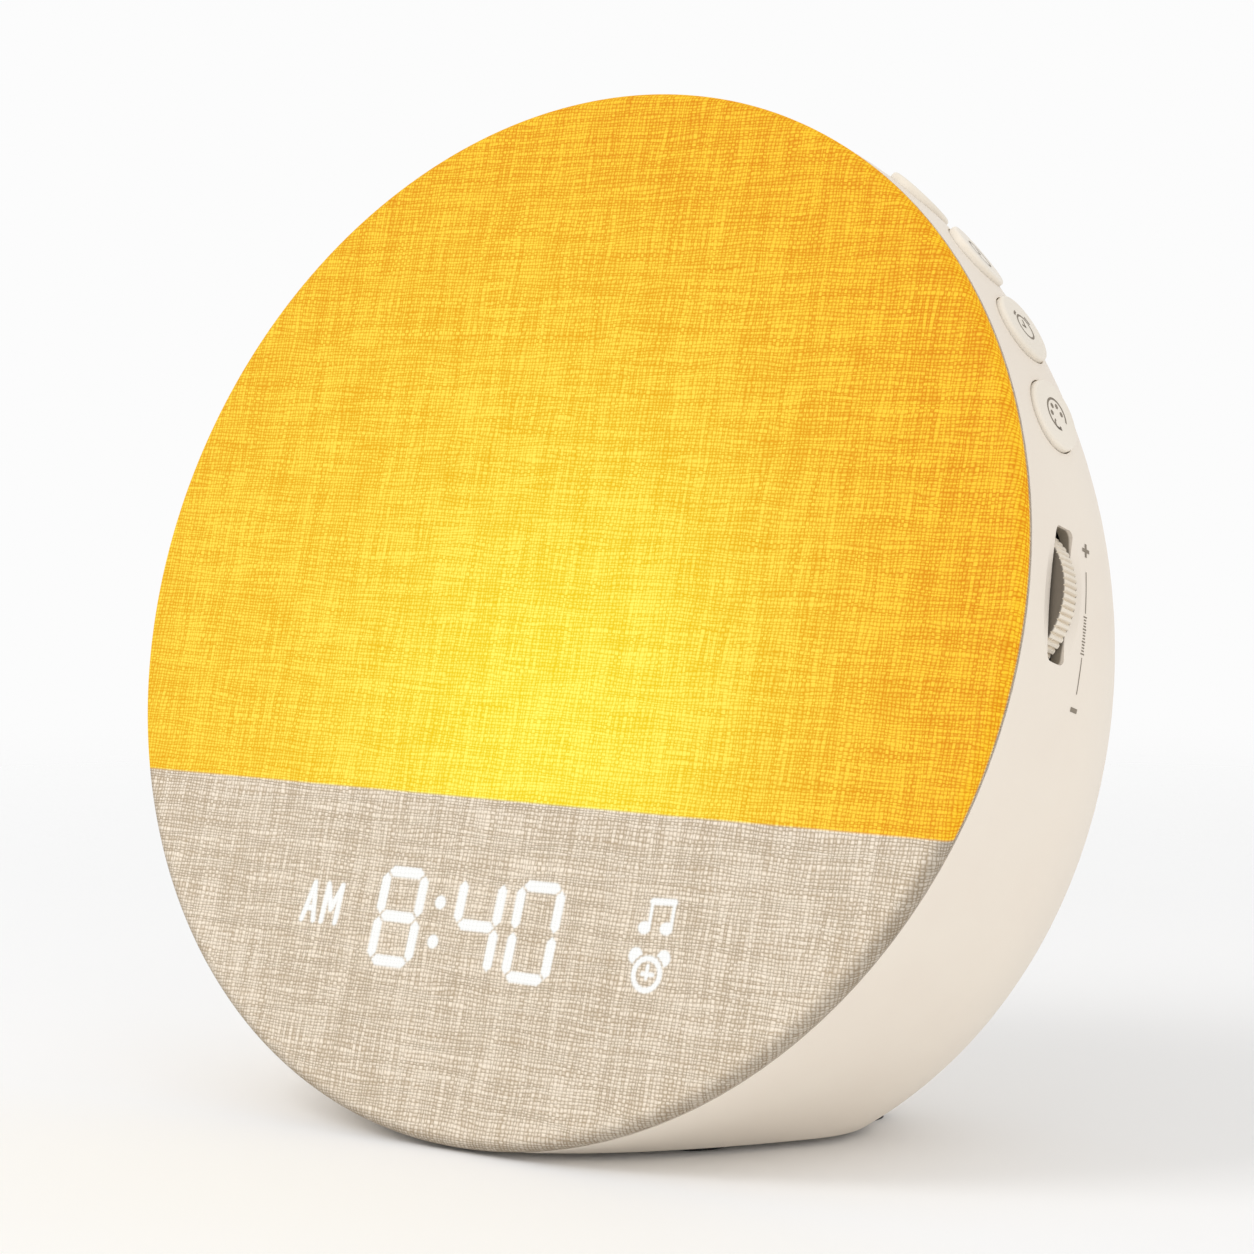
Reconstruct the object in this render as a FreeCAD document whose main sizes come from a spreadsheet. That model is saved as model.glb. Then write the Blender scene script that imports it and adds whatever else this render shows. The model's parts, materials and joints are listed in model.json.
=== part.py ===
"""Sunrise alarm clock: a drum that leans back on a flat base, with a linen front.

Lengths are in millimetres. The origin is on the table, under the middle of the clock.
+Z points up, +Y points to the back and +X to the side with the buttons and the thumbwheel.
Most pieces are laid out in the drum's own frame: X to the side, Y up along the face and Z out of the face,
with the origin in the middle of the face, so a depth behind the face is a negative Z.
"""

import FreeCAD, Part
import math
import os
import re

import Sketcher
from FreeCAD import Placement, Rotation, Vector

# Driving dimensions

SIZES = {
    # The outer form
    "drum_radius": 90.0,
    "tilt_angle": 16.7,
    "rear_reach": 54.0,
    "rear_round": 31.5,
    "wall": 2.4,
    "foot_height": 1.2,
    "face_band": 3.2,
    # The front
    "fabric_thick": 0.75,
    "rim_round": 1.8,
    "frame_radius": 89.2,
    "spigot_radius": 87.3,
    "spigot_depth": 10.6,
    "panel_radius": 83.8,
    "panel_thick": 2.2,
    "split_height": -33.0,
    "split_gap": 0.3,
    "window_width": 84.4,
    "window_height": 23.4,
    "window_centre": -54.3,
    # The display
    "block_depth": 4.6,
    "guide_thick": 0.85,
    "digit_height": 16.8,
    "digit_width": 9.8,
    "stroke": 1.7,
    "digit_slant": 2.5,
    "board_thick": 1.6,
    "main_board_width": 93.0,
    "main_board_height": 35.0,
    # The lamp
    "reflector_wall": 1.6,
    "reflector_depth": 20.0,
    "lamp_board_radius": 50.0,
    "led_width": 3.0,
    # The side controls
    "control_depth": 14.7,
    "button_radius": 6.1,
    "button_rise": 0.85,
    "button_gap": 0.25,
    "button_flange": 6.9,
    "flange_sink": 3.4,
    "button_travel": 0.35,
    "switch_sink": 7.8,
    "carrier_radius": 81.0,
    "switch_width": 6.0,
    "switch_height": 2.2,
    "plunger_radius": 1.6,
    # The thumbwheel
    "wheel_angle": 5.6,
    "wheel_depth": 13.5,
    "wheel_radius": 13.0,
    "wheel_width": 4.2,
    "wheel_rise": 1.5,
    "rib_depth": 0.55,
    "wheel_bevel": 0.4,
    "rib_count": 72.0,
    "slot_length": 21.6,
    "slot_width": 5.2,
    "scoop_length": 25.7,
    "scoop_width": 8.2,
    "scoop_height": 4.0,
    "scoop_rise": 2.9,
    "pot_radius": 7.8,
    "shaft_radius": 3.0,
    # The back and the base
    "rear_centre": 78.0,
    "cover_radius": 50.0,
    "cover_thick": 2.1,
    "rear_hole": 43.5,
    "rear_screw_circle": 46.9,
    "grille_radius": 21.0,
    "grille_slot": 1.7,
    "speaker_rise": 8.0,
    "speaker_radius": 26.0,
    "speaker_depth": 17.0,
    "jack_drop": 33.0,
    "jack_radius": 4.3,
    "foot_radius": 6.0,
    "foot_recess": 0.8,
    # Fasteners and leads
    "screw_radius": 1.2,
    "head_radius": 2.3,
    "head_height": 1.2,
    "lead_radius": 1.0,
}

BUTTON_ANGLES = {"palette_button": 24.8, "alarm_button": 35.3, "time_button": 45.7, "sound_button": 56.1}
CARRIER_SCREW_ANGLES = (17.4, 63.6)
HOOK_ANGLES = (72, 120, 168, 216, 312, 336)
FOOT_PLACES = ((-27, -10), (27, -10), (-35, 24), (35, 24))
REAR_SCREW_ANGLES = (45, 135, 225, 315)
BOARD_SCREW_PLACES = ((-43.5, -39.4), (43.5, -39.4), (-36, -68.3), (36, -68.3))
LAMP_SCREW_PLACES = ((0, 36), (-34, -14), (34, -14))
LED_RINGS = ((14, 6), (28, 12), (43, 18))

doc = FreeCAD.newDocument("SunriseAlarmClock")
sheet = doc.addObject("Spreadsheet::Sheet", "Sizes")
for row, (alias, number) in enumerate(SIZES.items(), start=1):
    sheet.set(f"A{row}", alias)
    sheet.set(f"B{row}", str(number))
    sheet.setAlias(f"B{row}", alias)
doc.recompute()

pieces = []


def value(formula):
    """The number that a formula of sheet names comes to."""
    return float(sheet.evalExpression(str(formula)))


def linked(formula):
    """The same formula with each sheet name written as the document knows it."""
    names = r"\b(" + "|".join(SIZES) + r")\b"
    return re.sub(names, r"Sizes.\1", str(formula))


def bind(thing, **formulas):
    """Ties properties of an object to formulas of the sheet."""
    for name, formula in formulas.items():
        thing.setExpression(name, linked(formula))
    return thing


# Frames

DRUM = Placement(
    Vector(0, value("(drum_radius * sin(tilt_angle) - rear_reach) / 2"),
           value("foot_height + drum_radius * cos(tilt_angle)")),
    Rotation(Vector(1, 0, 0), 90 - value("tilt_angle")),
)
FACE_Y = DRUM.Base.y
REAR = Placement(
    Vector(0, FACE_Y + value("rear_reach"), value("rear_centre")),
    Rotation(Vector(-1, 0, 0), Vector(0, 0, 1), Vector(0, 1, 0), "ZXY"),
)


def in_drum(across=0.0, up=0.0, out=0.0, turn=0.0):
    """A place in the drum's frame, turned about the drum's axis."""
    return DRUM * Placement(Vector(across, up, out), Rotation(Vector(0, 0, 1), turn))


def on_side(angle, depth, radius=0.0):
    """A place on the drum's side: Z points outwards, X to the back and Y round the drum."""
    ring = Placement(Vector(0, 0, -depth), Rotation(Vector(0, 0, 1), angle))
    return DRUM * ring * Placement(Vector(radius, 0, 0), Rotation(Vector(0, 1, 0), 90))


def on_surface(angle, depth, lift=0.0):
    """A place on the housing's outer surface with Z along the surface's normal, lifted along it."""
    def reach(at):
        start = DRUM.multVec(Vector(0, 0, -at))
        end = on_side(angle, at, value("drum_radius") + 5).Base
        ray = Part.makeLine(start, end)
        return max(start.distanceToPoint(v.Point) for v in doc.HousingOuter.Shape.common(ray).Vertexes)

    step = 0.05
    slope = math.degrees(math.atan2(reach(depth - step) - reach(depth + step), 2 * step))
    tilted = Placement(Vector(), Rotation(Vector(0, 1, 0), slope))
    return on_side(angle, depth, reach(depth)) * tilted * Placement(Vector(0, 0, lift), Rotation())


def in_rear(across=0.0, up=0.0, out=0.0):
    """A place on the back: Z points backwards, Y up, and X to the left seen from the front."""
    return REAR * Placement(Vector(across, up, out), Rotation())


# Bodies and their sketches

def new_body(name, place):
    body = doc.addObject("PartDesign::Body", name)
    body.Placement = place
    return body


def new_sketch(body, name, plane="XY_Plane", lift=None):
    """An empty sketch on one of the body's own planes, lifted off it by a formula."""
    sketch = body.newObject("Sketcher::SketchObject", name)
    origin_plane = next(f for f in body.Origin.OriginFeatures if f.Role == plane)
    sketch.AttachmentSupport = [(origin_plane, "")]
    sketch.MapMode = "FlatFace"
    if lift is not None:
        sketch.setExpression("AttachmentOffset.Base.z", linked(lift))
    return sketch


def fix(sketch, kind, geometry, point, formula):
    """Sets how far a point of the sketch lies from its origin along one direction."""
    index = sketch.addConstraint(Sketcher.Constraint(kind, -1, 1, geometry, point, value(formula)))
    sketch.setExpression(f"Constraints[{index}]", linked(formula))


def add_circle(sketch, radius, x=0, y=0):
    centre = Vector(value(x), value(y), 0)
    ring = sketch.addGeometry(Part.Circle(centre, Vector(0, 0, 1), value(radius)))
    index = sketch.addConstraint(Sketcher.Constraint("Radius", ring, value(radius)))
    sketch.setExpression(f"Constraints[{index}]", linked(radius))
    fix(sketch, "DistanceX", ring, 3, x)
    fix(sketch, "DistanceY", ring, 3, y)


def add_outline(sketch, corners):
    """A closed outline of straight edges whose corners are pairs of formulas."""
    points = [Vector(value(x), value(y), 0) for x, y in corners]
    first = None
    for index, start in enumerate(points):
        end = points[(index + 1) % len(points)]
        edge = sketch.addGeometry(Part.LineSegment(start, end))
        first = edge if first is None else first
    count = len(points)
    for index, (x, y) in enumerate(corners):
        following = first + (index + 1) % count
        sketch.addConstraint(Sketcher.Constraint("Coincident", first + index, 2, following, 1))
        fix(sketch, "DistanceX", first + index, 1, x)
        fix(sketch, "DistanceY", first + index, 1, y)


def pad(body, sketch, length, side="One side", reverse=False):
    feature = body.newObject("PartDesign::Pad", sketch.Name + "Pad")
    feature.Profile = sketch
    feature.SideType = side
    feature.Reversed = reverse
    return bind(feature, Length=length)


def pocket(body, sketch, length, side="One side", reverse=False):
    feature = body.newObject("PartDesign::Pocket", sketch.Name + "Pocket")
    feature.Profile = sketch
    feature.SideType = side
    feature.Reversed = reverse
    return bind(feature, Length=length)


def rounded(body, base, radius, chosen):
    """Rounds the edges of a feature that the test picks."""
    doc.recompute()
    edges = [f"Edge{i}" for i, edge in enumerate(base.Shape.Edges, start=1) if chosen(edge)]
    if not edges:
        raise RuntimeError(f"no edge of {base.Name} to round")
    feature = body.newObject("PartDesign::Fillet", base.Name + "Round")
    feature.Base = (base, edges)
    return bind(feature, Radius=radius)


def turned(name, corners, place):
    """A body turned about its Z axis from an outline of radius and height formulas."""
    body = new_body(name, place)
    sketch = new_sketch(body, name + "Outline", "XZ_Plane")
    add_outline(sketch, corners)
    feature = body.newObject("PartDesign::Revolution", name + "Turn")
    feature.Profile = sketch
    feature.ReferenceAxis = (sketch, ["V_Axis"])
    feature.Angle = 360
    return body, feature


# Primitives and booleans

def cylinder(name, radius, height, place, sweep=360):
    thing = bind(doc.addObject("Part::Cylinder", name), Radius=radius, Height=height)
    thing.Angle = sweep
    thing.Placement = place
    return thing


def box(name, length, width, height, place, centred=True):
    """A box, by default centred on its place in X and Y and standing on it."""
    thing = bind(doc.addObject("Part::Box", name), Length=length, Width=width, Height=height)
    shift = Vector(-value(length) / 2, -value(width) / 2, 0) if centred else Vector()
    thing.Placement = place * Placement(shift, Rotation())
    return thing


def fused(name, *things):
    result = doc.addObject("Part::MultiFuse", name)
    result.Shapes = list(things)
    result.Refine = True
    return result


def less(name, base, *tools):
    """The base with every tool cut out of it."""
    result = doc.addObject("Part::Cut", name)
    result.Base = base
    result.Tool = tools[0] if len(tools) == 1 else fused(name + "Tools", *tools)
    return result


def shared(name, first, second):
    result = doc.addObject("Part::Common", name)
    result.Base = first
    result.Tool = second
    return result


def group(name, *things):
    """Separate solids that belong to one node."""
    result = doc.addObject("Part::Compound", name)
    result.Links = list(things)
    return result


def piece(label, thing):
    thing.Label = label
    pieces.append(thing)
    return thing


def screw(name, length, place):
    """A pan-head screw whose shank points along the place's -Z, from under the head."""
    head = cylinder(name + "Head", "head_radius", "head_height", place)
    down = place * Placement(Vector(0, 0, -value(length)), Rotation())
    shank = cylinder(name + "Shank", "screw_radius", length, down)
    return fused(name, head, shank)


# The housing

def drum_solid(name, inset, front):
    """The drum behind a depth, with its upright back, its large rounding and its flat base."""
    body = new_body(name, DRUM)
    round_sketch = new_sketch(body, name + "Circle", lift=front)
    add_circle(round_sketch, f"drum_radius - {inset}")
    pad(body, round_sketch, "drum_radius * 1.3", reverse=True)

    back = new_sketch(body, name + "Back", "YZ_Plane")
    slope = "({up} * sin(tilt_angle) - rear_reach + " + inset + ") / cos(tilt_angle)"
    add_outline(back, [
        ("-drum_radius * 1.2", slope.format(up="-drum_radius * 1.2")),
        ("drum_radius * 1.2", slope.format(up="drum_radius * 1.2")),
        ("drum_radius * 1.2", "-drum_radius * 2"),
        ("-drum_radius * 1.2", "-drum_radius * 2"),
    ])
    upright = pocket(body, back, "drum_radius * 4", side="Symmetric")
    rounded(body, upright, f"rear_round - {inset}", lambda edge: isinstance(edge.Curve, Part.Ellipse))

    base = new_sketch(body, name + "Base", "YZ_Plane")
    floor = "-drum_radius + (" + inset + " - ({out}) * sin(tilt_angle)) / cos(tilt_angle)"
    add_outline(base, [
        (floor.format(out="10"), "10"),
        (floor.format(out="-drum_radius * 2"), "-drum_radius * 2"),
        ("-drum_radius * 2.5", "-drum_radius * 2"),
        ("-drum_radius * 2.5", "10"),
    ])
    pocket(body, base, "drum_radius * 4", side="Symmetric")
    return body


def housing_additions():
    """The ring and the bosses that stand inside the shell."""
    ring_place = in_rear(out=-value("wall * 2 - 0.2"))
    ring = less(
        "RearRing",
        cylinder("RearRingOuter", "cover_radius + 3", "wall + 0.3", ring_place),
        cylinder("RearRingInner", "rear_hole - 0.8", "wall + 0.3", ring_place),
    )
    added = [ring]
    for index, angle in enumerate(REAR_SCREW_ANGLES):
        turn = math.radians(angle)
        radius = value("rear_screw_circle")
        place = in_rear(radius * math.cos(turn), radius * math.sin(turn), -10.5)
        added.append(cylinder(f"RearBoss{index}", "3.1", "6.5", place))
    for index, angle in enumerate(CARRIER_SCREW_ANGLES):
        place = on_side(angle, value("control_depth"), value("carrier_radius"))
        added.append(cylinder(f"CarrierBoss{index}", "2.6", "drum_radius - wall / 2 - carrier_radius", place))
    return added


def wheel_openings():
    """The slot of the thumbwheel and the finger scoop round it."""
    place = on_side(value("wheel_angle"), value("wheel_depth"), value("drum_radius") - 6)
    body = new_body("WheelSlot", place)
    sketch = new_sketch(body, "WheelSlotOutline")
    half_width, half_length = "slot_width / 2", "slot_length / 2"
    add_outline(sketch, [
        (f"-{half_width}", f"-{half_length}"),
        (half_width, f"-{half_length}"),
        (half_width, half_length),
        (f"-{half_width}", half_length),
    ])
    block = pad(body, sketch, "10")
    rounded(body, block, "1.2", lambda edge: edge.BoundBox.DiagonalLength > 9.9 and is_along(edge, place))
    scoop = doc.addObject("Part::Ellipsoid", "WheelScoop")
    bind(scoop, Radius1="scoop_height", Radius2="scoop_width", Radius3="scoop_length")
    scoop.Placement = on_side(value("wheel_angle"), value("wheel_depth"), value("drum_radius + scoop_rise"))
    return [body, scoop]


def is_along(edge, place):
    """Whether a straight edge of a body runs along the body's own Z axis."""
    if not isinstance(edge.Curve, Part.Line):
        return False
    direction = edge.Vertexes[-1].Point.sub(edge.Vertexes[0].Point)
    return abs(direction.z) > 0.99 * direction.Length


def main_housing():
    outer = drum_solid("HousingOuter", "0", "-face_band")
    core = drum_solid("HousingCore", "wall", "1")
    shell = less("HousingShell", outer, core)
    solid = fused("HousingWithBosses", shell, *housing_additions())

    tools = [
        cylinder("RearOpening", "rear_hole", "12", in_rear(out=-11)),
        cylinder("RearRebate", "cover_radius + 0.3", "4", in_rear(out=-value("cover_thick + 0.1"))),
    ]
    for index, angle in enumerate(REAR_SCREW_ANGLES):
        turn = math.radians(angle)
        radius = value("rear_screw_circle")
        place = in_rear(radius * math.cos(turn), radius * math.sin(turn), -9.5)
        tools.append(cylinder(f"RearPilot{index}", "screw_radius", "12", place))
    for index, (x, y) in enumerate(FOOT_PLACES):
        place = Placement(Vector(x, y, 0), Rotation())
        tools.append(cylinder(f"FootRecess{index}", "foot_radius + 0.2", "foot_height + foot_recess", place))
    for index, angle in enumerate(BUTTON_ANGLES.values()):
        place = on_surface(angle, value("control_depth"), -6)
        tools.append(cylinder(f"ButtonHole{index}", "button_radius + button_gap", "10", place))
    for index, angle in enumerate(CARRIER_SCREW_ANGLES):
        place = on_side(angle, value("control_depth"), value("carrier_radius") - 1)
        tools.append(cylinder(f"CarrierPilot{index}", "screw_radius", "6.2", place))
    for index, angle in enumerate(HOOK_ANGLES):
        place = on_side(angle, 9.5, value("drum_radius - wall") - 1)
        tools.append(box(f"HookPocket{index}", "2.2", "9", "2", place))
    tools += wheel_openings()
    piece("main_housing", less("MainHousing", solid, *tools))


def rubber_feet():
    feet = []
    for index, (x, y) in enumerate(FOOT_PLACES):
        place = Placement(Vector(x, y, 0), Rotation())
        feet.append(cylinder(f"Foot{index}", "foot_radius", "foot_height + foot_recess", place))
    piece("rubber_feet", group("RubberFeet", *feet))


# The front

def fabric_cover():
    body, turn = turned("FabricCover", [
        ("0", "0"),
        ("drum_radius", "0"),
        ("drum_radius", "-face_band + 0.1"),
        ("drum_radius - fabric_thick", "-face_band + 0.1"),
        ("drum_radius - fabric_thick", "-fabric_thick"),
        ("0", "-fabric_thick"),
    ], DRUM)
    outer = value("drum_radius")
    rounded(body, turn, "rim_round", lambda edge: on_circle(edge, outer, 0))
    piece("fabric_cover", body)


def on_circle(edge, radius, height):
    """Whether an edge is the circle of a radius about the body's Z axis at a height."""
    if not isinstance(edge.Curve, Part.Circle):
        return False
    return abs(edge.Curve.Radius - radius) < 0.01 and abs(edge.Curve.Center.z - height) < 0.01


def front_frame():
    front = "-fabric_thick - 0.05"
    seat = "-fabric_thick - 0.1 - panel_thick"
    body, turn = turned("FrameRing", [
        ("panel_radius + 0.2", front),
        ("frame_radius", front),
        ("frame_radius", "-face_band"),
        ("spigot_radius", "-face_band"),
        ("spigot_radius", "-spigot_depth"),
        ("spigot_radius - 1.9", "-spigot_depth"),
        ("spigot_radius - 1.9", f"{seat} - 1.3"),
        ("panel_radius - 2.3", f"{seat} - 1.3"),
        ("panel_radius - 2.3", seat),
        ("panel_radius + 0.2", seat),
    ], DRUM)
    outer, top = value("frame_radius"), value(front)
    rounded(body, turn, "1.2", lambda edge: on_circle(edge, outer, top))

    hooks = []
    for index, angle in enumerate(HOOK_ANGLES):
        place = on_side(angle, 9.5, value("spigot_radius") - 1)
        hooks.append(box(f"Hook{index}", "1.6", "8", "1.7", place))
    floor = "-drum_radius + (wall + 0.3 + ({depth}) * sin(tilt_angle)) / cos(tilt_angle)"
    wedge = new_body("FrameBaseGap", DRUM)
    sketch = new_sketch(wedge, "FrameBaseGapOutline", "YZ_Plane")
    add_outline(sketch, [
        (floor.format(depth="face_band"), "-face_band"),
        (floor.format(depth="20"), "-20"),
        ("-drum_radius * 1.2", "-20"),
        ("-drum_radius * 1.2", "-face_band"),
    ])
    pad(wedge, sketch, "drum_radius * 4", side="Symmetric")
    control_gap = cylinder("FrameControlGap", "drum_radius", "8", in_drum(out=-14.6, turn=-10), sweep=76)
    ring = fused("FrameWithHooks", body, *hooks)
    piece("front_frame", less("FrontFrame", ring, wedge, control_gap))


def front_panels():
    """The opal diffuser above the split and the opaque fascia with the display window below it."""
    back = -value("fabric_thick + 0.1 + panel_thick")
    below = box("BelowSplit", "drum_radius * 3", "drum_radius * 2", "20",
                in_drum(up=value("split_height + split_gap - drum_radius"), out=-10))
    above = box("AboveSplit", "drum_radius * 3", "drum_radius * 2", "20",
                in_drum(up=value("split_height - split_gap + drum_radius"), out=-10))
    upper = cylinder("DiffuserDisc", "panel_radius", "panel_thick", in_drum(out=back))
    piece("light_diffuser", less("LightDiffuser", upper, below))

    lower = cylinder("FasciaDisc", "panel_radius", "panel_thick", in_drum(out=back))
    window = box("DisplayWindow", "window_width", "window_height", "20",
                 in_drum(up=value("window_centre"), out=-10))
    plate = less("FasciaPlate", lower, above, window)
    length = value("block_depth + guide_thick + 0.1")
    bosses = []
    pilots = []
    for index, (x, y) in enumerate(BOARD_SCREW_PLACES):
        place = in_drum(x, y, back - length)
        bosses.append(cylinder(f"FasciaBoss{index}", "2.3", "block_depth + guide_thick + 0.1", place))
        pilots.append(cylinder(f"FasciaPilot{index}", "screw_radius", "block_depth + guide_thick", place))
    solid = fused("FasciaWithBosses", plate, *bosses)
    piece("display_fascia", less("DisplayFascia", solid, *pilots))
    lens = box("DisplayLens", "window_width - 0.4", "window_height - 0.4", "panel_thick",
               in_drum(up=value("window_centre"), out=back))
    piece("display_lens", lens)


# The display

def bar(centre, length, width, turn, slant):
    """A flat bar with pointed ends, as a face: a segment of a digit."""
    half, side = length / 2, width / 2
    corners = [(-half, 0), (side - half, side), (half - side, side), (half, 0), (half - side, -side), (side - half, -side)]
    cosine, sine = math.cos(turn), math.sin(turn)
    points = []
    for x, y in corners:
        across = centre[0] + x * cosine - y * sine
        up = centre[1] + x * sine + y * cosine
        middle = value("window_centre")
        points.append(Vector(across + (up - middle) * math.tan(slant), up, 0))
    return Part.Face(Part.makePolygon(points + points[:1]))


def digit_faces(centre, segments):
    """The faces of a seven-segment digit round a centre, for the segments named."""
    stroke = value("stroke")
    slant = math.radians(value("digit_slant"))
    half_width = (value("digit_width") - stroke) / 2
    half_height = (value("digit_height") - stroke) / 2
    gap = 0.25
    places = {
        "top": (0, half_height, True), "middle": (0, 0, True), "bottom": (0, -half_height, True),
        "upper_left": (-half_width, half_height / 2, False), "upper_right": (half_width, half_height / 2, False),
        "lower_left": (-half_width, -half_height / 2, False), "lower_right": (half_width, -half_height / 2, False),
    }
    faces = []
    for segment in segments:
        x, y, level = places[segment]
        length = (2 * half_width if level else half_height) - gap
        turn = 0 if level else math.pi / 2
        faces.append(bar((centre + x, value("window_centre") + y), length, stroke, turn, slant))
    return faces


def guide_group(name, faces, place):
    """Flat faces raised to light guides, as one node of separate solids."""
    thing = doc.addObject("Part::Feature", name)
    height = value("guide_thick")
    thing.Shape = Part.makeCompound([face.extrude(Vector(0, 0, height)) for face in faces])
    thing.Placement = place
    return thing


def display():
    back = -value("fabric_thick + 0.1 + panel_thick")
    whole = ("top", "middle", "bottom", "upper_left", "upper_right", "lower_left", "lower_right")
    faces = digit_faces(-31.6, ("upper_right", "lower_right"))
    for centre in (-19.6, -2.9, 9.3):
        faces += digit_faces(centre, whole)
    middle = value("window_centre")
    for height in (3.3, -3.3):
        circle = Part.makeCircle(1.1, Vector(-11.0, middle + height, 0))
        faces.append(Part.Face(Part.Wire(circle)))
    guide_place = in_drum(out=back - value("guide_thick"))
    piece("display_segments", guide_group("DisplaySegments", faces, guide_place))

    spots = [((-38.9, 1.2), 1.7), ((-34.2, 1.2), 1.7), ((31.6, 5.2), 1.5), ((35.6, 5.2), 1.5), ((33.3, -4.2), 3.0)]
    rounds = [Part.Face(Part.Wire(Part.makeCircle(r, Vector(x, middle + y, 0)))) for (x, y), r in spots]
    piece("display_indicators", guide_group("DisplayIndicators", rounds, guide_place))

    front = back - value("guide_thick")
    block = box("DisplayBlock", "window_width - 0.6", "window_height - 1", "block_depth",
                in_drum(up=middle, out=front - value("block_depth")))
    piece("display_block", block)


def main_board():
    front = -value("fabric_thick + 0.2 + panel_thick + guide_thick + block_depth")
    rear = front - value("board_thick")
    plate = box("BoardPlate", "main_board_width", "main_board_height", "board_thick", in_drum(up=-53.8, out=rear))
    holes = []
    screws = []
    for index, (x, y) in enumerate(BOARD_SCREW_PLACES):
        holes.append(cylinder(f"BoardHole{index}", "screw_radius + 0.15", "6", in_drum(x, y, rear - 2)))
        back_view = in_drum(x, y, rear) * Placement(Vector(), Rotation(Vector(1, 0, 0), 180))
        screws.append(screw(f"BoardScrew{index}", "5", back_view))
    piece("main_board", less("MainBoard", plate, *holes))
    piece("main_board_screws", group("MainBoardScrews", *screws))

    chips = [
        box("Processor", "10", "10", "1.4", in_drum(-8, -55, rear - 1.4)),
        box("AudioChip", "6", "5", "1.4", in_drum(14, -60, rear - 1.4)),
        box("LampDriver", "5", "4", "1.4", in_drum(25, -47, rear - 1.4)),
        box("LampSocket", "8", "5", "5", in_drum(-30, -45, rear - 5)),
        box("SpeakerSocket", "5", "5", "5", in_drum(-18, -66, rear - 5)),
        box("PowerSocket", "6", "5", "5", in_drum(4, -45, rear - 5)),
        box("ControlSocket", "10", "5", "5", in_drum(30, -60, rear - 5)),
        cylinder("LampCapacitor", "4", "9", in_drum(-30, -58, rear - 9)),
        cylinder("AudioCapacitor", "3", "7", in_drum(22, -66.5, rear - 7)),
    ]
    piece("main_board_parts", group("MainBoardParts", *chips))


# The lamp

def d_cut(name, height):
    """Everything of the drum below a height on the face."""
    return box(name, "drum_radius * 3", "drum_radius * 2", "60",
               in_drum(up=value(f"{height} - drum_radius"), out=-50))


def lamp():
    rim = "-fabric_thick - 1.45 - panel_thick"
    floor = "-reflector_depth"
    outer, _ = turned("ReflectorOuter", [
        ("0", f"{floor} - reflector_wall"), ("53.6", f"{floor} - reflector_wall"), ("61", "-10.5"),
        ("79.6", f"{rim} - 1.4"), ("84.9", f"{rim} - 1.4"), ("84.9", rim), ("0", rim),
    ], DRUM)
    inner, _ = turned("ReflectorInner", [
        ("0", floor), ("52", floor), ("60", "-9"), ("79", f"{rim}"), ("79", "1"), ("0", "1"),
    ], DRUM)
    dish = less("ReflectorDish", outer, d_cut("ReflectorChord", "split_height"))
    hollow = less("ReflectorHollow", inner, d_cut("HollowChord", "split_height + reflector_wall"))
    bosses = []
    pilots = []
    holes = []
    screws = []
    board_back = value(floor)
    for index, (x, y) in enumerate(LAMP_SCREW_PLACES):
        bosses.append(cylinder(f"LampBoss{index}", "2.6", "5", in_drum(x, y, board_back - 6)))
        pilots.append(cylinder(f"LampPilot{index}", "screw_radius", "6", in_drum(x, y, board_back - 5)))
        holes.append(cylinder(f"LampHole{index}", "screw_radius + 0.15", "6", in_drum(x, y, board_back - 2)))
        screws.append(screw(f"LampScrew{index}", "6", in_drum(x, y, board_back + value("board_thick"))))
    lead_hole = cylinder("LampLeadHole", "2", "10", in_drum(-20, -24, board_back - 5))
    bracket_pilots = bracket_holes("BracketPilot", "screw_radius")
    shell = fused("ReflectorShell", less("ReflectorWalls", dish, hollow), *bosses)
    piece("lamp_reflector", less("LampReflector", shell, lead_hole, *pilots, *bracket_pilots))

    disc = cylinder("LampBoardDisc", "lamp_board_radius", "board_thick", in_drum(out=board_back))
    chord = d_cut("LampBoardChord", "split_height + reflector_wall + 0.6")
    wire_slot = cylinder("LampBoardWireHole", "2", "10", in_drum(-20, -24, board_back - 5))
    piece("lamp_board", less("LampBoard", disc, chord, wire_slot, *holes))
    piece("lamp_board_screws", group("LampBoardScrews", *screws))

    leds = []
    for radius, count in LED_RINGS:
        for index in range(count):
            turn = 360 * index / count
            up = radius * math.sin(math.radians(turn))
            if up < -25:
                continue
            across = radius * math.cos(math.radians(turn))
            place = in_drum(across, up, board_back + value("board_thick"))
            leds.append(box(f"Led{radius}x{index}", "led_width", "led_width", "0.8", place))
    piece("lamp_leds", group("LampLeds", *leds))


# The side controls

def button(label, name, angle):
    """A round cap with its flange and its stem, turned about the direction it is pressed in."""
    body, turn = turned(name, [
        ("0", "button_rise"),
        ("button_radius", "button_rise"),
        ("button_radius", "-flange_sink"),
        ("button_flange", "-flange_sink"),
        ("button_flange", "-flange_sink - 1"),
        ("2", "-flange_sink - 1"),
        ("2", "switch_height + 0.5 - switch_sink"),
        ("0", "switch_height + 0.5 - switch_sink"),
    ], on_surface(angle, value("control_depth")))
    radius, height = value("button_radius"), value("button_rise")
    rounded(body, turn, "0.55", lambda edge: on_circle(edge, radius, height))
    piece(label, body)


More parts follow.
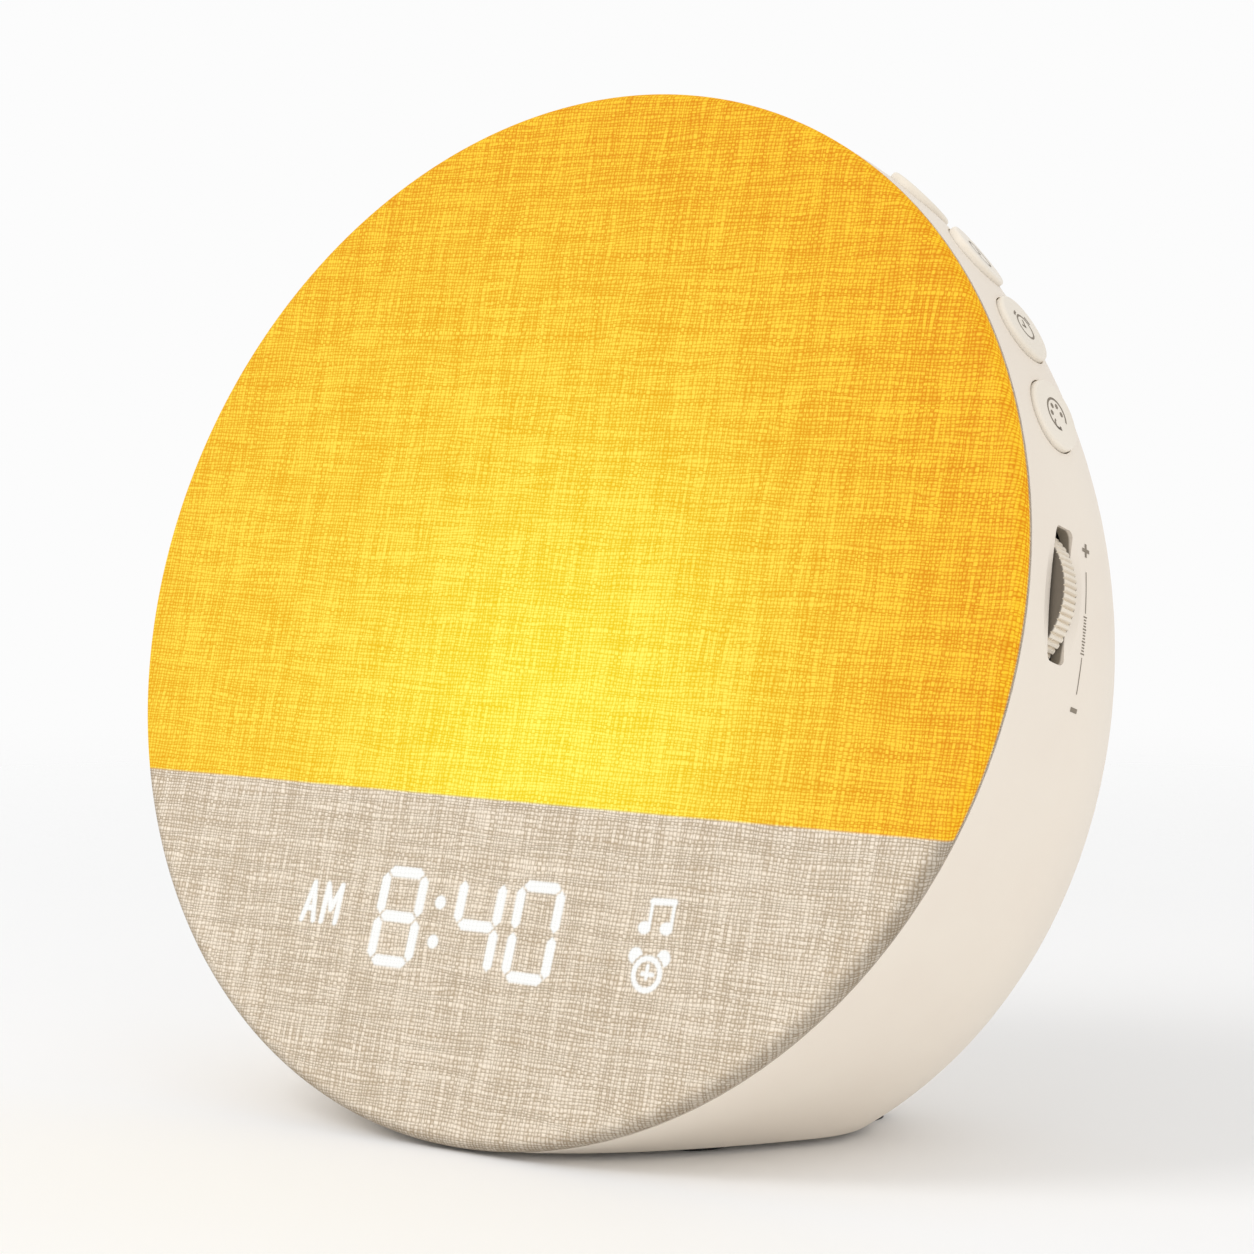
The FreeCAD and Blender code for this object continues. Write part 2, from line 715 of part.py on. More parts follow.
def buttons():
    """The four caps, and under each a switch case with its plunger."""
    top = value("switch_height - switch_sink")
    cases = []
    for index, (label, angle) in enumerate(BUTTON_ANGLES.items(), start=1):
        button(label, label.title().replace("_", ""), angle)
        place = on_surface(angle, value("control_depth"), top - 0.8)
        piece(f"switch_plunger_{index}", cylinder(f"SwitchPlunger{index}", "plunger_radius", "1.3", place))
        seat = on_surface(angle, value("control_depth"), -value("switch_sink"))
        case = box(f"SwitchCase{index}", "switch_width", "switch_width", "switch_height", seat)
        well_place = on_surface(angle, value("control_depth"), top - 1.25)
        well = cylinder(f"SwitchWell{index}", "plunger_radius + 0.1", "3", well_place)
        cases.append(less(f"Switch{index}", case, well))
    piece("button_switches", group("ButtonSwitches", *cases))


def button_carrier():
    """The strip of flat facets, one behind each button, with a seat square to each switch."""
    facets = [CARRIER_SCREW_ANGLES[0], *BUTTON_ANGLES.values(), CARRIER_SCREW_ANGLES[1]]
    ends = [(facets[0] - 2.3, 2.3)]
    ends += [((a + b) / 2, (b - a) / 2) for a, b in zip(facets, facets[1:])]
    ends.append((facets[-1] + 2.3, 2.3))
    body = new_body("ButtonCarrier", DRUM)
    sketch = new_sketch(body, "CarrierOutline", lift="-control_depth - 5.2")
    outline = []
    for radius, places in (("carrier_radius", ends), ("(carrier_radius - 1.6)", ends[::-1])):
        for angle, half in places:
            reach = f"{radius} / cos({half:.3f})"
            outline.append((f"{reach} * cos({angle:.3f})", f"{reach} * sin({angle:.3f})"))
    add_outline(sketch, outline)
    pad(body, sketch, "10.4")
    seats = []
    for index, angle in enumerate(BUTTON_ANGLES.values()):
        place = on_surface(angle, value("control_depth"), -value("switch_sink") - 1.8)
        seats.append(box(f"SwitchSeat{index}", "7", "7", "1.8", place))
    strip = fused("CarrierStrip", body, *seats)
    holes = []
    screws = []
    for index, angle in enumerate(CARRIER_SCREW_ANGLES):
        inward = on_side(angle, value("control_depth"), value("carrier_radius") - 1.6)
        holes.append(cylinder(f"CarrierHole{index}", "screw_radius + 0.15", "4", on_side(
            angle, value("control_depth"), value("carrier_radius") - 3)))
        head_down = inward * Placement(Vector(), Rotation(Vector(1, 0, 0), 180))
        screws.append(screw(f"CarrierScrew{index}", "5.5", head_down))
    piece("button_carrier", less("CarrierWithHoles", strip, *holes))
    piece("carrier_screws", group("CarrierScrews", *screws))


def wheel_axis_radius():
    return value("drum_radius + wheel_rise - wheel_radius")


def at_wheel(depth):
    """A place on the thumbwheel's axis at a depth behind the face."""
    turn = math.radians(value("wheel_angle"))
    radius = wheel_axis_radius()
    return in_drum(radius * math.cos(turn), radius * math.sin(turn), -depth, value("wheel_angle"))


def volume_wheel():
    """The thumbwheel: a chamfered disc whose rim has even grooves, hollowed on one side."""
    body = new_body("VolumeWheel", at_wheel(value("wheel_depth + wheel_width / 2")))
    disc = new_sketch(body, "WheelDisc")
    add_circle(disc, "wheel_radius")
    blank = pad(body, disc, "wheel_width")
    doc.recompute()
    rims = [f"Edge{i}" for i, edge in enumerate(blank.Shape.Edges, start=1) if isinstance(edge.Curve, Part.Circle)]
    bevel = body.newObject("PartDesign::Chamfer", "WheelBevel")
    bevel.Base = (blank, rims)
    bind(bevel, Size="wheel_bevel")
    hollow = new_sketch(body, "WheelHollow", lift="wheel_width")
    add_circle(hollow, "wheel_radius - 2.6")
    add_circle(hollow, "shaft_radius + 2.2")
    pocket(body, hollow, "1.6")
    bore = new_sketch(body, "WheelBore", lift="wheel_width")
    add_circle(bore, "shaft_radius + 0.02")
    pocket(body, bore, "wheel_width + 1")

    groove = new_sketch(body, "WheelGroove", lift="wheel_width + 0.5")
    bottom, top = "wheel_radius - rib_depth", "wheel_radius + 0.2"
    add_outline(groove, [(bottom, "0"), (top, "-0.45"), (top, "0.45")])
    cut = pocket(body, groove, "wheel_width + 1")
    pattern = body.newObject("PartDesign::PolarPattern", "WheelRibs")
    pattern.Originals = [cut]
    pattern.Axis = (groove, ["N_Axis"])
    pattern.Angle = 360
    bind(pattern, Occurrences="rib_count")
    body.Tip = pattern
    piece("volume_wheel", body)


def bracket_holes(name, radius):
    """Tools for the two screws that hold the thumbwheel's bracket on the lamp box."""
    turn = math.radians(value("wheel_angle"))
    tools = []
    for index, (reach, side) in enumerate(((47, -5), (47, 5))):
        across = reach * math.cos(turn) - side * math.sin(turn)
        up = reach * math.sin(turn) + side * math.cos(turn)
        tools.append(cylinder(f"{name}{index}", radius, "8", in_drum(across, up, -26)))
    return tools


def wheel_mechanism():
    shaft_place = at_wheel(19.2)
    piece("wheel_shaft", cylinder("WheelShaft", "shaft_radius", "8.4", shaft_place))

    back = value("reflector_depth + reflector_wall")
    case = cylinder("PotentiometerCase", "pot_radius", "4.8", at_wheel(back))
    well = cylinder("PotentiometerWell", "shaft_radius + 0.05", "5", at_wheel(19.4))
    piece("potentiometer", less("Potentiometer", case, well))

    strip = box("BracketStrip", "44", "18", "1.6", in_drum(turn=value("wheel_angle"), out=-back - 1.6)
                * Placement(Vector(64, 0, 0), Rotation()))
    ears = []
    for index, side in enumerate((-8.5, 8.5)):
        place = in_drum(turn=value("wheel_angle"), out=-back - 1.6) * Placement(Vector(78.5, side, 0), Rotation())
        ears.append(box(f"BracketEar{index}", "10", "1", "4.5", place))
    plate = fused("BracketPlate", strip, *ears)
    piece("wheel_bracket", less("WheelBracket", plate, *bracket_holes("BracketHole", "screw_radius + 0.15")))
    turn = math.radians(value("wheel_angle"))
    screws = []
    for index, side in enumerate((-5, 5)):
        across = 47 * math.cos(turn) - side * math.sin(turn)
        up = 47 * math.sin(turn) + side * math.cos(turn)
        place = in_drum(across, up, -back - 1.6) * Placement(Vector(), Rotation(Vector(1, 0, 0), 180))
        screws.append(screw(f"BracketScrew{index}", "3.2", place))
    piece("bracket_screws", group("BracketScrews", *screws))


# The back

def rear_cover():
    """The round back cover: a plate with the speaker grille, a locating rim and a speaker collar."""
    body = new_body("RearCoverBody", in_rear(out=-0.1))
    disc = new_sketch(body, "CoverDisc")
    add_circle(disc, "cover_radius")
    pad(body, disc, "cover_thick", reverse=True)
    rim = new_sketch(body, "CoverRim", lift="-cover_thick")
    add_circle(rim, "rear_hole - 1.1")
    add_circle(rim, "rear_hole - 2.9")
    pad(body, rim, "3", reverse=True)
    collar = new_sketch(body, "SpeakerCollar", lift="-cover_thick")
    add_circle(collar, "speaker_radius + 2", "0", "speaker_rise")
    add_circle(collar, "speaker_radius + 0.3", "0", "speaker_rise")
    pad(body, collar, "1.8", reverse=True)
    grille = new_sketch(body, "GrilleSlots")
    pitch = 2 * value("grille_slot")
    rows = int(value("grille_radius") / pitch)
    for row in range(-rows, rows + 1):
        height = row * pitch
        half = math.sqrt(value("grille_radius") ** 2 - height ** 2) - 1
        add_slot(grille, f"{half:.3f}", f"speaker_rise + {height:.3f}", "grille_slot / 2")
    pocket(body, grille, "cover_thick + 1")

    tools = [cylinder("JackOpening", "jack_radius + 0.2", "6", in_rear(up=-value("jack_drop"), out=-4))]
    tools.append(cylinder("JackRecess", "jack_radius + 2", "2", in_rear(up=-value("jack_drop"), out=-0.8)))
    screws = []
    for index, angle in enumerate(REAR_SCREW_ANGLES):
        turn = math.radians(angle)
        x = value("rear_screw_circle") * math.cos(turn)
        y = value("rear_screw_circle") * math.sin(turn)
        tools.append(cylinder(f"CoverHole{index}", "screw_radius + 0.15", "6", in_rear(x, y, -4)))
        tools.append(cylinder(f"CoverSeat{index}", "head_radius + 0.2", "3", in_rear(x, y, -1.3)))
        screws.append(screw(f"CoverScrew{index}", "7", in_rear(x, y, -1.3)))
    for index in range(3):
        x, y = speaker_screw(index)
        pilot = in_rear(x, y, -value("cover_thick") - 2.4)
        tools.append(cylinder(f"SpeakerPilot{index}", "screw_radius", "2.3", pilot))
    bosses = []
    for index in range(3):
        x, y = speaker_screw(index)
        bosses.append(cylinder(f"SpeakerBoss{index}", "2.4", "2.2", in_rear(x, y, -value("cover_thick") - 2.1)))
    solid = fused("CoverWithBosses", body, *bosses)
    piece("rear_cover", less("RearCover", solid, *tools))
    piece("rear_cover_screws", group("RearCoverScrews", *screws))


def add_slot(sketch, half_length, height, radius):
    """A level slot with round ends, centred across."""
    half, middle, end = value(half_length), value(height), value(radius)
    left, right = Vector(-half, middle, 0), Vector(half, middle, 0)
    quarter = math.pi / 2
    right_arc = sketch.addGeometry(Part.ArcOfCircle(Part.Circle(right, Vector(0, 0, 1), end), -quarter, quarter))
    upper = sketch.addGeometry(Part.LineSegment(Vector(half, middle + end, 0), Vector(-half, middle + end, 0)))
    left_arc = sketch.addGeometry(Part.ArcOfCircle(Part.Circle(left, Vector(0, 0, 1), end), quarter, 3 * quarter))
    lower = sketch.addGeometry(Part.LineSegment(Vector(-half, middle - end, 0), Vector(half, middle - end, 0)))
    for first, second in ((right_arc, upper), (upper, left_arc), (left_arc, lower), (lower, right_arc)):
        sketch.addConstraint(Sketcher.Constraint("Tangent", first, 2, second, 1))
    index = sketch.addConstraint(Sketcher.Constraint("Radius", right_arc, end))
    sketch.setExpression(f"Constraints[{index}]", linked(radius))
    fix(sketch, "DistanceX", right_arc, 3, half_length)
    fix(sketch, "DistanceY", right_arc, 3, height)
    fix(sketch, "DistanceX", left_arc, 3, f"-{half_length}")


def speaker_screw(index):
    """Where one of the three speaker screws stands on the back cover."""
    turn = math.radians(30 + 120 * index)
    reach = value("speaker_radius") + 3.4
    return reach * math.cos(turn), value("speaker_rise") + reach * math.sin(turn)


def speaker():
    inner = -value("cover_thick") - 0.1
    place = in_rear(up=value("speaker_rise"), out=inner)
    gasket, _ = turned("SpeakerGasket", [
        ("speaker_radius - 3.4", "-0.8"), ("speaker_radius", "-0.8"), ("speaker_radius", "0"),
        ("speaker_radius - 3.4", "0"),
    ], place)
    piece("speaker_gasket", gasket)
    depth = "speaker_depth"
    frame, _ = turned("SpeakerFrame", [
        ("speaker_radius - 3.4", "-0.8"), ("speaker_radius", "-0.8"), ("speaker_radius", "-2.0"),
        ("speaker_radius - 2.4", "-2.0"), ("14.5", f"-{depth} + 6"), ("7.5", f"-{depth} + 6"),
        ("7.5", f"-{depth} + 7"), ("13.9", f"-{depth} + 7"), ("speaker_radius - 3.4", "-2.2"),
    ], place)
    piece("speaker_frame", frame)
    surround, _ = turned("SpeakerSurround", [
        ("speaker_radius - 6.6", "-2.2"), ("speaker_radius - 5.1", "-0.9"), ("speaker_radius - 3.45", "-1.6"),
        ("speaker_radius - 3.45", "-2.1"), ("speaker_radius - 5.1", "-1.5"), ("speaker_radius - 6.6", "-2.7"),
    ], place)
    piece("speaker_surround", surround)
    cone, _ = turned("SpeakerCone", [
        ("0", "-5.2"), ("4", "-5.2"), ("6", "-7.4"), ("speaker_radius - 6.7", "-2.3"),
        ("speaker_radius - 6.7", "-2.8"), ("6.4", "-8.2"), ("6.4", "-9.6"), ("5.6", "-9.6"), ("5.6", "-7.8"),
        ("3.8", "-5.8"), ("0", "-5.8"),
    ], place)
    piece("speaker_cone", cone)
    magnet, _ = turned("SpeakerMagnet", [
        ("0", f"-{depth}"), ("12", f"-{depth}"), ("12.5", f"-{depth} + 0.5"), ("12.5", f"-{depth} + 5.95"),
        ("0", f"-{depth} + 5.95"),
    ], place)
    piece("speaker_magnet", magnet)
    screws = []
    for index in range(3):
        x, y = speaker_screw(index)
        seat = in_rear(x, y, -value("cover_thick") - 2.1) * Placement(Vector(), Rotation(Vector(1, 0, 0), 180))
        head = cylinder(f"SpeakerScrewHead{index}", "4.2", "1.2", seat)
        shank_place = in_rear(x, y, -value("cover_thick") - 2.1)
        shank = cylinder(f"SpeakerScrewShank{index}", "screw_radius", "2", shank_place)
        screws.append(fused(f"SpeakerScrew{index}", head, shank))
    piece("speaker_screws", group("SpeakerScrews", *screws))


def power_jack():
    """The barrel inlet for a direct-current plug, with its centre pin."""
    drop = -value("jack_drop")
    inner = -value("cover_thick") - 0.1
    nose = cylinder("JackNose", "jack_radius", "-(-cover_thick - 0.1) - 0.8", in_rear(up=drop, out=inner))
    case = box("JackCase", "9.4", "10.6", "11", in_rear(up=drop, out=inner - 11))
    bore = cylinder("JackBore", "2.9", "20", in_rear(up=drop, out=-10.5))
    piece("power_jack", less("PowerJack", fused("JackBody", case, nose), bore))
    piece("jack_pin", cylinder("JackPin", "1", "8.5", in_rear(up=drop, out=-10.5)))


# Leads inside the housing

def tube_path(points, bend):
    """Straight runs joined by tangent arcs of one radius."""
    edges = []
    start = points[0]
    for before, corner, after in zip(points, points[1:], points[2:]):
        inward, outward = (corner - before).normalize(), (after - corner).normalize()
        turn = inward.getAngle(outward)
        setback = bend * math.tan(turn / 2)
        first = corner - inward * setback
        last = corner + outward * setback
        bisector = (outward - inward).normalize()
        centre = corner + bisector * (bend / math.cos(turn / 2))
        middle = centre - bisector * bend
        edges.append(Part.LineSegment(start, first).toShape())
        edges.append(Part.Arc(first, middle, last).toShape())
        start = last
    edges.append(Part.LineSegment(start, points[-1]).toShape())
    return Part.Wire(edges)


def lead(label, name, places, bend):
    """A round lead through places given in the drum's frame."""
    points = [DRUM.multVec(Vector(*place)) for place in places]
    path = tube_path(points, bend)
    radius = value("lead_radius")
    circle = Part.Wire(Part.makeCircle(radius, points[0], points[1] - points[0]))
    solid = path.makePipeShell([circle], True, True)
    expected = math.pi * radius ** 2 * path.Length
    if abs(solid.Volume - expected) > 0.02 * expected:
        raise RuntimeError(f"{label} has {solid.Volume:.1f} mm3 instead of {expected:.1f}")
    thing = doc.addObject("Part::Feature", name)
    thing.Shape = solid
    piece(label, thing)


def drum_point(place):
    """The drum's own coordinates of a place's origin."""
    point = DRUM.inverse().multVec(place.Base)
    return (point.x, point.y, point.z)


def leads():
    board_back = -value("fabric_thick + 0.2 + panel_thick + guide_thick + block_depth + board_thick")
    socket = board_back - 5
    lead("lamp_lead", "LampLead", [
        (-20, -24, -18.4), (-20, -24, -28), (-30, -45, -28), (-30, -45, socket),
    ], 3.5)
    behind_magnet = -value("cover_thick + speaker_depth") - 0.1
    rise = value("speaker_rise") - 8
    lead("speaker_lead", "SpeakerLead", [
        drum_point(in_rear(up=rise, out=behind_magnet)), drum_point(in_rear(up=rise, out=behind_magnet - 5)),
        (-18, -40, -24), (-18, -66, -27), (-18, -66, socket),
    ], 3)
    behind_jack = -value("cover_thick") - 11.1
    drop = -value("jack_drop")
    lead("power_lead", "PowerLead", [
        drum_point(in_rear(up=drop, out=behind_jack)), drum_point(in_rear(up=drop, out=behind_jack - 7)),
        (4, -45, -26), (4, -45, socket),
    ], 3.5)
    lead("control_lead", "ControlLead", [
        (66, -24, -24.6), (60, -42, -26), (30, -60, -24), (30, -60, socket),
    ], 3.5)


# The whole clock

def check_and_write():
    """Recomputes, refuses anything failed, null or invalid, and writes one file per piece."""
    doc.recompute()
    failed = [o.Name for o in doc.Objects if {"Invalid", "Error"} & set(o.State)]
    if failed:
        raise RuntimeError(f"these objects failed: {failed}")
    for thing in pieces:
        if thing.Shape.isNull() or not thing.Shape.isValid():
            raise RuntimeError(f"{thing.Label} is null or not valid")
    os.makedirs("parts", exist_ok=True)
    for thing in pieces:
        thing.Shape.exportStep(f"parts/{thing.Label}.step")
    print(f"{len(pieces)} pieces written")


main_housing()
rubber_feet()
fabric_cover()
front_frame()
front_panels()
display()
main_board()
lamp()
buttons()
button_carrier()
volume_wheel()
wheel_mechanism()
rear_cover()
speaker()
power_jack()
leads()
check_and_write()
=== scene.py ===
"""Sunrise alarm clock: the dressed model, in metres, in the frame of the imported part."""

import json
import logging
import math
from dataclasses import dataclass, field
from enum import Enum

import bmesh
import bpy
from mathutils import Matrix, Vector

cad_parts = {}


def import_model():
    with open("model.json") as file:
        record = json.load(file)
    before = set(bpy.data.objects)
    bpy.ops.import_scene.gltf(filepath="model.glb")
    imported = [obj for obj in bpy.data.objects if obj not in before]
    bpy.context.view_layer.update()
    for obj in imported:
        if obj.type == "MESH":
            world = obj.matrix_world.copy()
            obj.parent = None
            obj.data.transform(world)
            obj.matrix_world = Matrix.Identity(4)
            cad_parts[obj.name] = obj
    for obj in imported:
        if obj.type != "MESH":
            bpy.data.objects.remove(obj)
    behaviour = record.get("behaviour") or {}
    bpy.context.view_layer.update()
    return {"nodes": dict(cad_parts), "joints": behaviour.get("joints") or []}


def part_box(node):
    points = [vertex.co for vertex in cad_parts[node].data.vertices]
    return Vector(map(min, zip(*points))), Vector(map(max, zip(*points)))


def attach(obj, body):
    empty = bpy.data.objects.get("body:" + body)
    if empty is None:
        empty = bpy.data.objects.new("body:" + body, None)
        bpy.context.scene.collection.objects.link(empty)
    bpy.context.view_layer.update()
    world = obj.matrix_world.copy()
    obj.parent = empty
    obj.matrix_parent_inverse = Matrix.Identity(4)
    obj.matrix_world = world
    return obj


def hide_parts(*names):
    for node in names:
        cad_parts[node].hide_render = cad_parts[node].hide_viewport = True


log = logging.getLogger("sunrise_clock")

MM = 0.001
Shade = tuple[int, int, int]
Spot = tuple[float, float]
Linear = tuple[float, float, float, float]


def linear(part: int) -> float:
    """One part of a screen colour, 0 to 255, as a linear share."""
    share = part / 255
    return share / 12.92 if share <= 0.04045 else ((share + 0.055) / 1.055) ** 2.4


def srgb(red: int, green: int, blue: int) -> Linear:
    """Turns a colour as it is seen on a screen into the linear one that a socket takes.

    Args:
        red: The red part, 0 to 255.
        green: The green part, 0 to 255.
        blue: The blue part, 0 to 255.

    Returns:
        The linear colour with a full alpha.
    """
    return linear(red), linear(green), linear(blue), 1.0


@dataclass(frozen=True)
class Drum:
    """The drum's frame: across and up along the tilted face, and depth behind it."""

    radius: float = 90.0 * MM
    tilt: float = math.radians(16.7)
    rear_reach: float = 54.0 * MM
    foot: float = 1.2 * MM

    @property
    def centre(self) -> Vector:
        """The middle of the face."""
        behind = (self.radius * math.sin(self.tilt) - self.rear_reach) / 2
        return Vector((0, behind, self.foot + self.radius * math.cos(self.tilt)))

    @property
    def up(self) -> Vector:
        """The direction up along the face."""
        return Vector((0, math.sin(self.tilt), math.cos(self.tilt)))

    @property
    def back(self) -> Vector:
        """The direction straight into the drum."""
        return Vector((0, math.cos(self.tilt), -math.sin(self.tilt)))

    def face(self, across: float, up: float, depth: float = 0.0) -> Vector:
        """A point by its place on the face and its depth behind it."""
        return self.centre + Vector((across, 0, 0)) + self.up * up + self.back * depth

    def side(self, angle: float, depth: float, lift: float = 0.0) -> Vector:
        """A point on the drum's side.

        Args:
            angle: The angle round the drum, in degrees from +X towards the top.
            depth: How far behind the face it lies, in metres.
            lift: How far outside the side it lies, in metres.

        Returns:
            The point.
        """
        turn = math.radians(angle)
        reach = self.radius + lift
        return self.face(reach * math.cos(turn), reach * math.sin(turn), depth)


DRUM = Drum()


# What an input takes: a value, a socket or a constant.
Given = object
Sockets = dict[str | int, Given]


class NodeTree:
    """A node tree under construction."""

    def __init__(self, tree: bpy.types.NodeTree) -> None:
        """Takes a tree and empties it."""
        self.tree = tree
        tree.nodes.clear()

    def node(
        self, kind: str, settings: dict[str, Given] | None = None, sockets: Sockets | None = None,
    ) -> bpy.types.Node:
        """Adds one node.

        Args:
            kind: The node's type.
            settings: Its properties, set first.
            sockets: A value or a link for each input, by its name or its number.

        Returns:
            The new node.
        """
        made = self.tree.nodes.new(kind)
        for name, given in (settings or {}).items():
            setattr(made, name, given)
        for name, given in (sockets or {}).items():
            self.feed(made.inputs[name], given)
        return made

    def feed(self, slot: bpy.types.NodeSocket, given: Given) -> None:
        """Links an input to a socket or a value, or sets it to a constant.

        Args:
            slot: The input.
            given: A value, a socket or a constant.
        """
        if isinstance(given, Maths):
            given = given.socket
        if isinstance(given, bpy.types.NodeSocket):
            self.tree.links.new(given, slot)
        else:
            slot.default_value = given

    def value(self, socket: bpy.types.NodeSocket) -> "Maths":
        """A socket as a value that takes part in arithmetic."""
        return Maths(self, socket)

    def vector(self, x: Given, y: Given, z: Given = 0.0) -> bpy.types.NodeSocket:
        """Three values joined into a vector."""
        return self.node("ShaderNodeCombineXYZ", sockets={0: x, 1: y, 2: z}).outputs[0]

    def split(self, vector: bpy.types.NodeSocket) -> tuple["Maths", ...]:
        """The three values of a vector."""
        parts = self.node("ShaderNodeSeparateXYZ", sockets={0: vector}).outputs
        return tuple(self.value(part) for part in parts)


class Maths:
    """A node's value that takes part in arithmetic with numbers and with other values."""

    def __init__(self, nodes: NodeTree, socket: bpy.types.NodeSocket) -> None:
        """Keeps the node tree and the socket that holds the value."""
        self.nodes = nodes
        self.socket = socket

    def _do(self, operation: str, *inputs: Given) -> "Maths":
        """Adds one Math node and gives its result."""
        made = self.nodes.node("ShaderNodeMath", {"operation": operation}, dict(enumerate(inputs)))
        return Maths(self.nodes, made.outputs[0])

    def __add__(self, other: "Maths | float") -> "Maths":
        """This value plus another."""
        return self._do("ADD", self, other)

    __radd__ = __add__

    def __sub__(self, other: "Maths | float") -> "Maths":
        """This value less another."""
        return self._do("SUBTRACT", self, other)

    def __rsub__(self, other: float) -> "Maths":
        """A number less this value."""
        return self._do("SUBTRACT", other, self)

    def __mul__(self, other: "Maths | float") -> "Maths":
        """This value times another."""
        return self._do("MULTIPLY", self, other)

    __rmul__ = __mul__

    def __truediv__(self, other: "Maths | float") -> "Maths":
        """This value over another."""
        return self._do("DIVIDE", self, other)

    def __mod__(self, other: float) -> "Maths":
        """What is left of this value after whole steps of another."""
        return self._do("MODULO", self, other)

    def __lt__(self, other: float) -> "Maths":
        """One where this value is below a number, otherwise zero."""
        return self._do("LESS_THAN", self, other)

    def sine(self) -> "Maths":
        """The sine of this value, in radians."""
        return self._do("SINE", self)

    def angle(self, across: "Maths") -> "Maths":
        """The angle, in radians, of a point this far up and the given value across."""
        return self._do("ARCTAN2", self, across)

    def size(self) -> "Maths":
        """This value without its sign."""
        return self._do("ABSOLUTE", self)

    def whole(self) -> "Maths":
        """The whole number below this value."""
        return self._do("FLOOR", self)

    def power(self, exponent: float) -> "Maths":
        """This value raised to a power."""
        return self._do("POWER", self, exponent)

    def root(self) -> "Maths":
        """The square root of this value."""
        return self._do("SQRT", self)

    def step(self, low: float, high: float) -> "Maths":
        """A smooth step from 0 at the low value to 1 at the high one.

        Args:
            low: Where the step begins.
            high: Where it ends.

        Returns:
            The step.
        """
        made = self.nodes.node(
            "ShaderNodeMapRange", {"interpolation_type": "SMOOTHSTEP"},
            {"Value": self, "From Min": low, "From Max": high},
        )
        return Maths(self.nodes, made.outputs["Result"])


class Workshop(NodeTree):
    """One material under construction, with its shader and the nodes that feed it."""

    def __init__(self, name: str) -> None:
        """Starts a material of that name with a Principled shader.

        Args:
            name: The material's name.
        """
        self.material = bpy.data.materials.new(name)
        self.material.use_nodes = True
        super().__init__(self.material.node_tree)
        self.shader = self.node("ShaderNodeBsdfPrincipled")
        self.node("ShaderNodeOutputMaterial", sockets={"Surface": self.shader.outputs[0]})

    def fix(self, **sockets: Given) -> None:
        """Feeds the shader's inputs, each named with underscores for spaces."""
        for name, given in sockets.items():
            self.feed(self.shader.inputs[name.replace("_", " ")], given)

    def place(self) -> tuple[Maths, ...]:
        """The three Object coordinates, in metres."""
        return self.split(self.node("ShaderNodeTexCoord").outputs["Object"])

    def drum_place(self) -> tuple[Maths, Maths, Maths]:
        """The place across, up and behind the clock's face, in millimetres.

        Returns:
            The places across, up and behind.
        """
        x, y, z = self.place()
        sine, cosine = math.sin(DRUM.tilt), math.cos(DRUM.tilt)
        off_y, off_z = (y - DRUM.centre.y) / MM, (z - DRUM.centre.z) / MM
        return x / MM, off_y * sine + off_z * cosine, off_y * cosine - off_z * sine

    def flat(self, layer: str) -> tuple[Maths, Maths]:
        """The two coordinates of a named UV layer."""
        x, y, _ = self.split(self.node("ShaderNodeUVMap", {"uv_map": layer}).outputs[0])
        return x, y

    def noise(self, vector: bpy.types.NodeSocket | None, scale: float, detail: float = 2.0) -> Maths:
        """Soft noise from 0 to 1.

        Args:
            vector: The place, or None for the Object coordinates.
            scale: How often it varies along a unit of the place.
            detail: How many finer layers it has.

        Returns:
            The noise.
        """
        if vector is None:
            vector = self.node("ShaderNodeTexCoord").outputs["Object"]
        made = self.node("ShaderNodeTexNoise", sockets={"Vector": vector, "Scale": scale, "Detail": detail})
        return self.value(made.outputs[0])

    def blend(self, share: Maths, low: Given, high: Given) -> bpy.types.NodeSocket:
        """A colour between two, each a linear colour or a socket, by a share from 0 to 1."""
        return self.node("ShaderNodeMix", {"data_type": "RGBA"}, {0: share, 6: low, 7: high}).outputs[2]

    def dim(self, colour: Given, share: Maths) -> bpy.types.NodeSocket:
        """A colour times a value."""
        return self.blend(share, (0.0, 0.0, 0.0, 1.0), colour)

    def bump(self, height: Maths, distance: float, strength: float = 1.0) -> None:
        """Feeds a height in 0 to 1 to the shader's normal.

        Args:
            height: The height map.
            distance: How deep its full range is, in metres.
            strength: How much of it shows.
        """
        sockets = {"Strength": strength, "Distance": distance, "Height": height}
        self.fix(Normal=self.node("ShaderNodeBump", sockets=sockets).outputs[0])


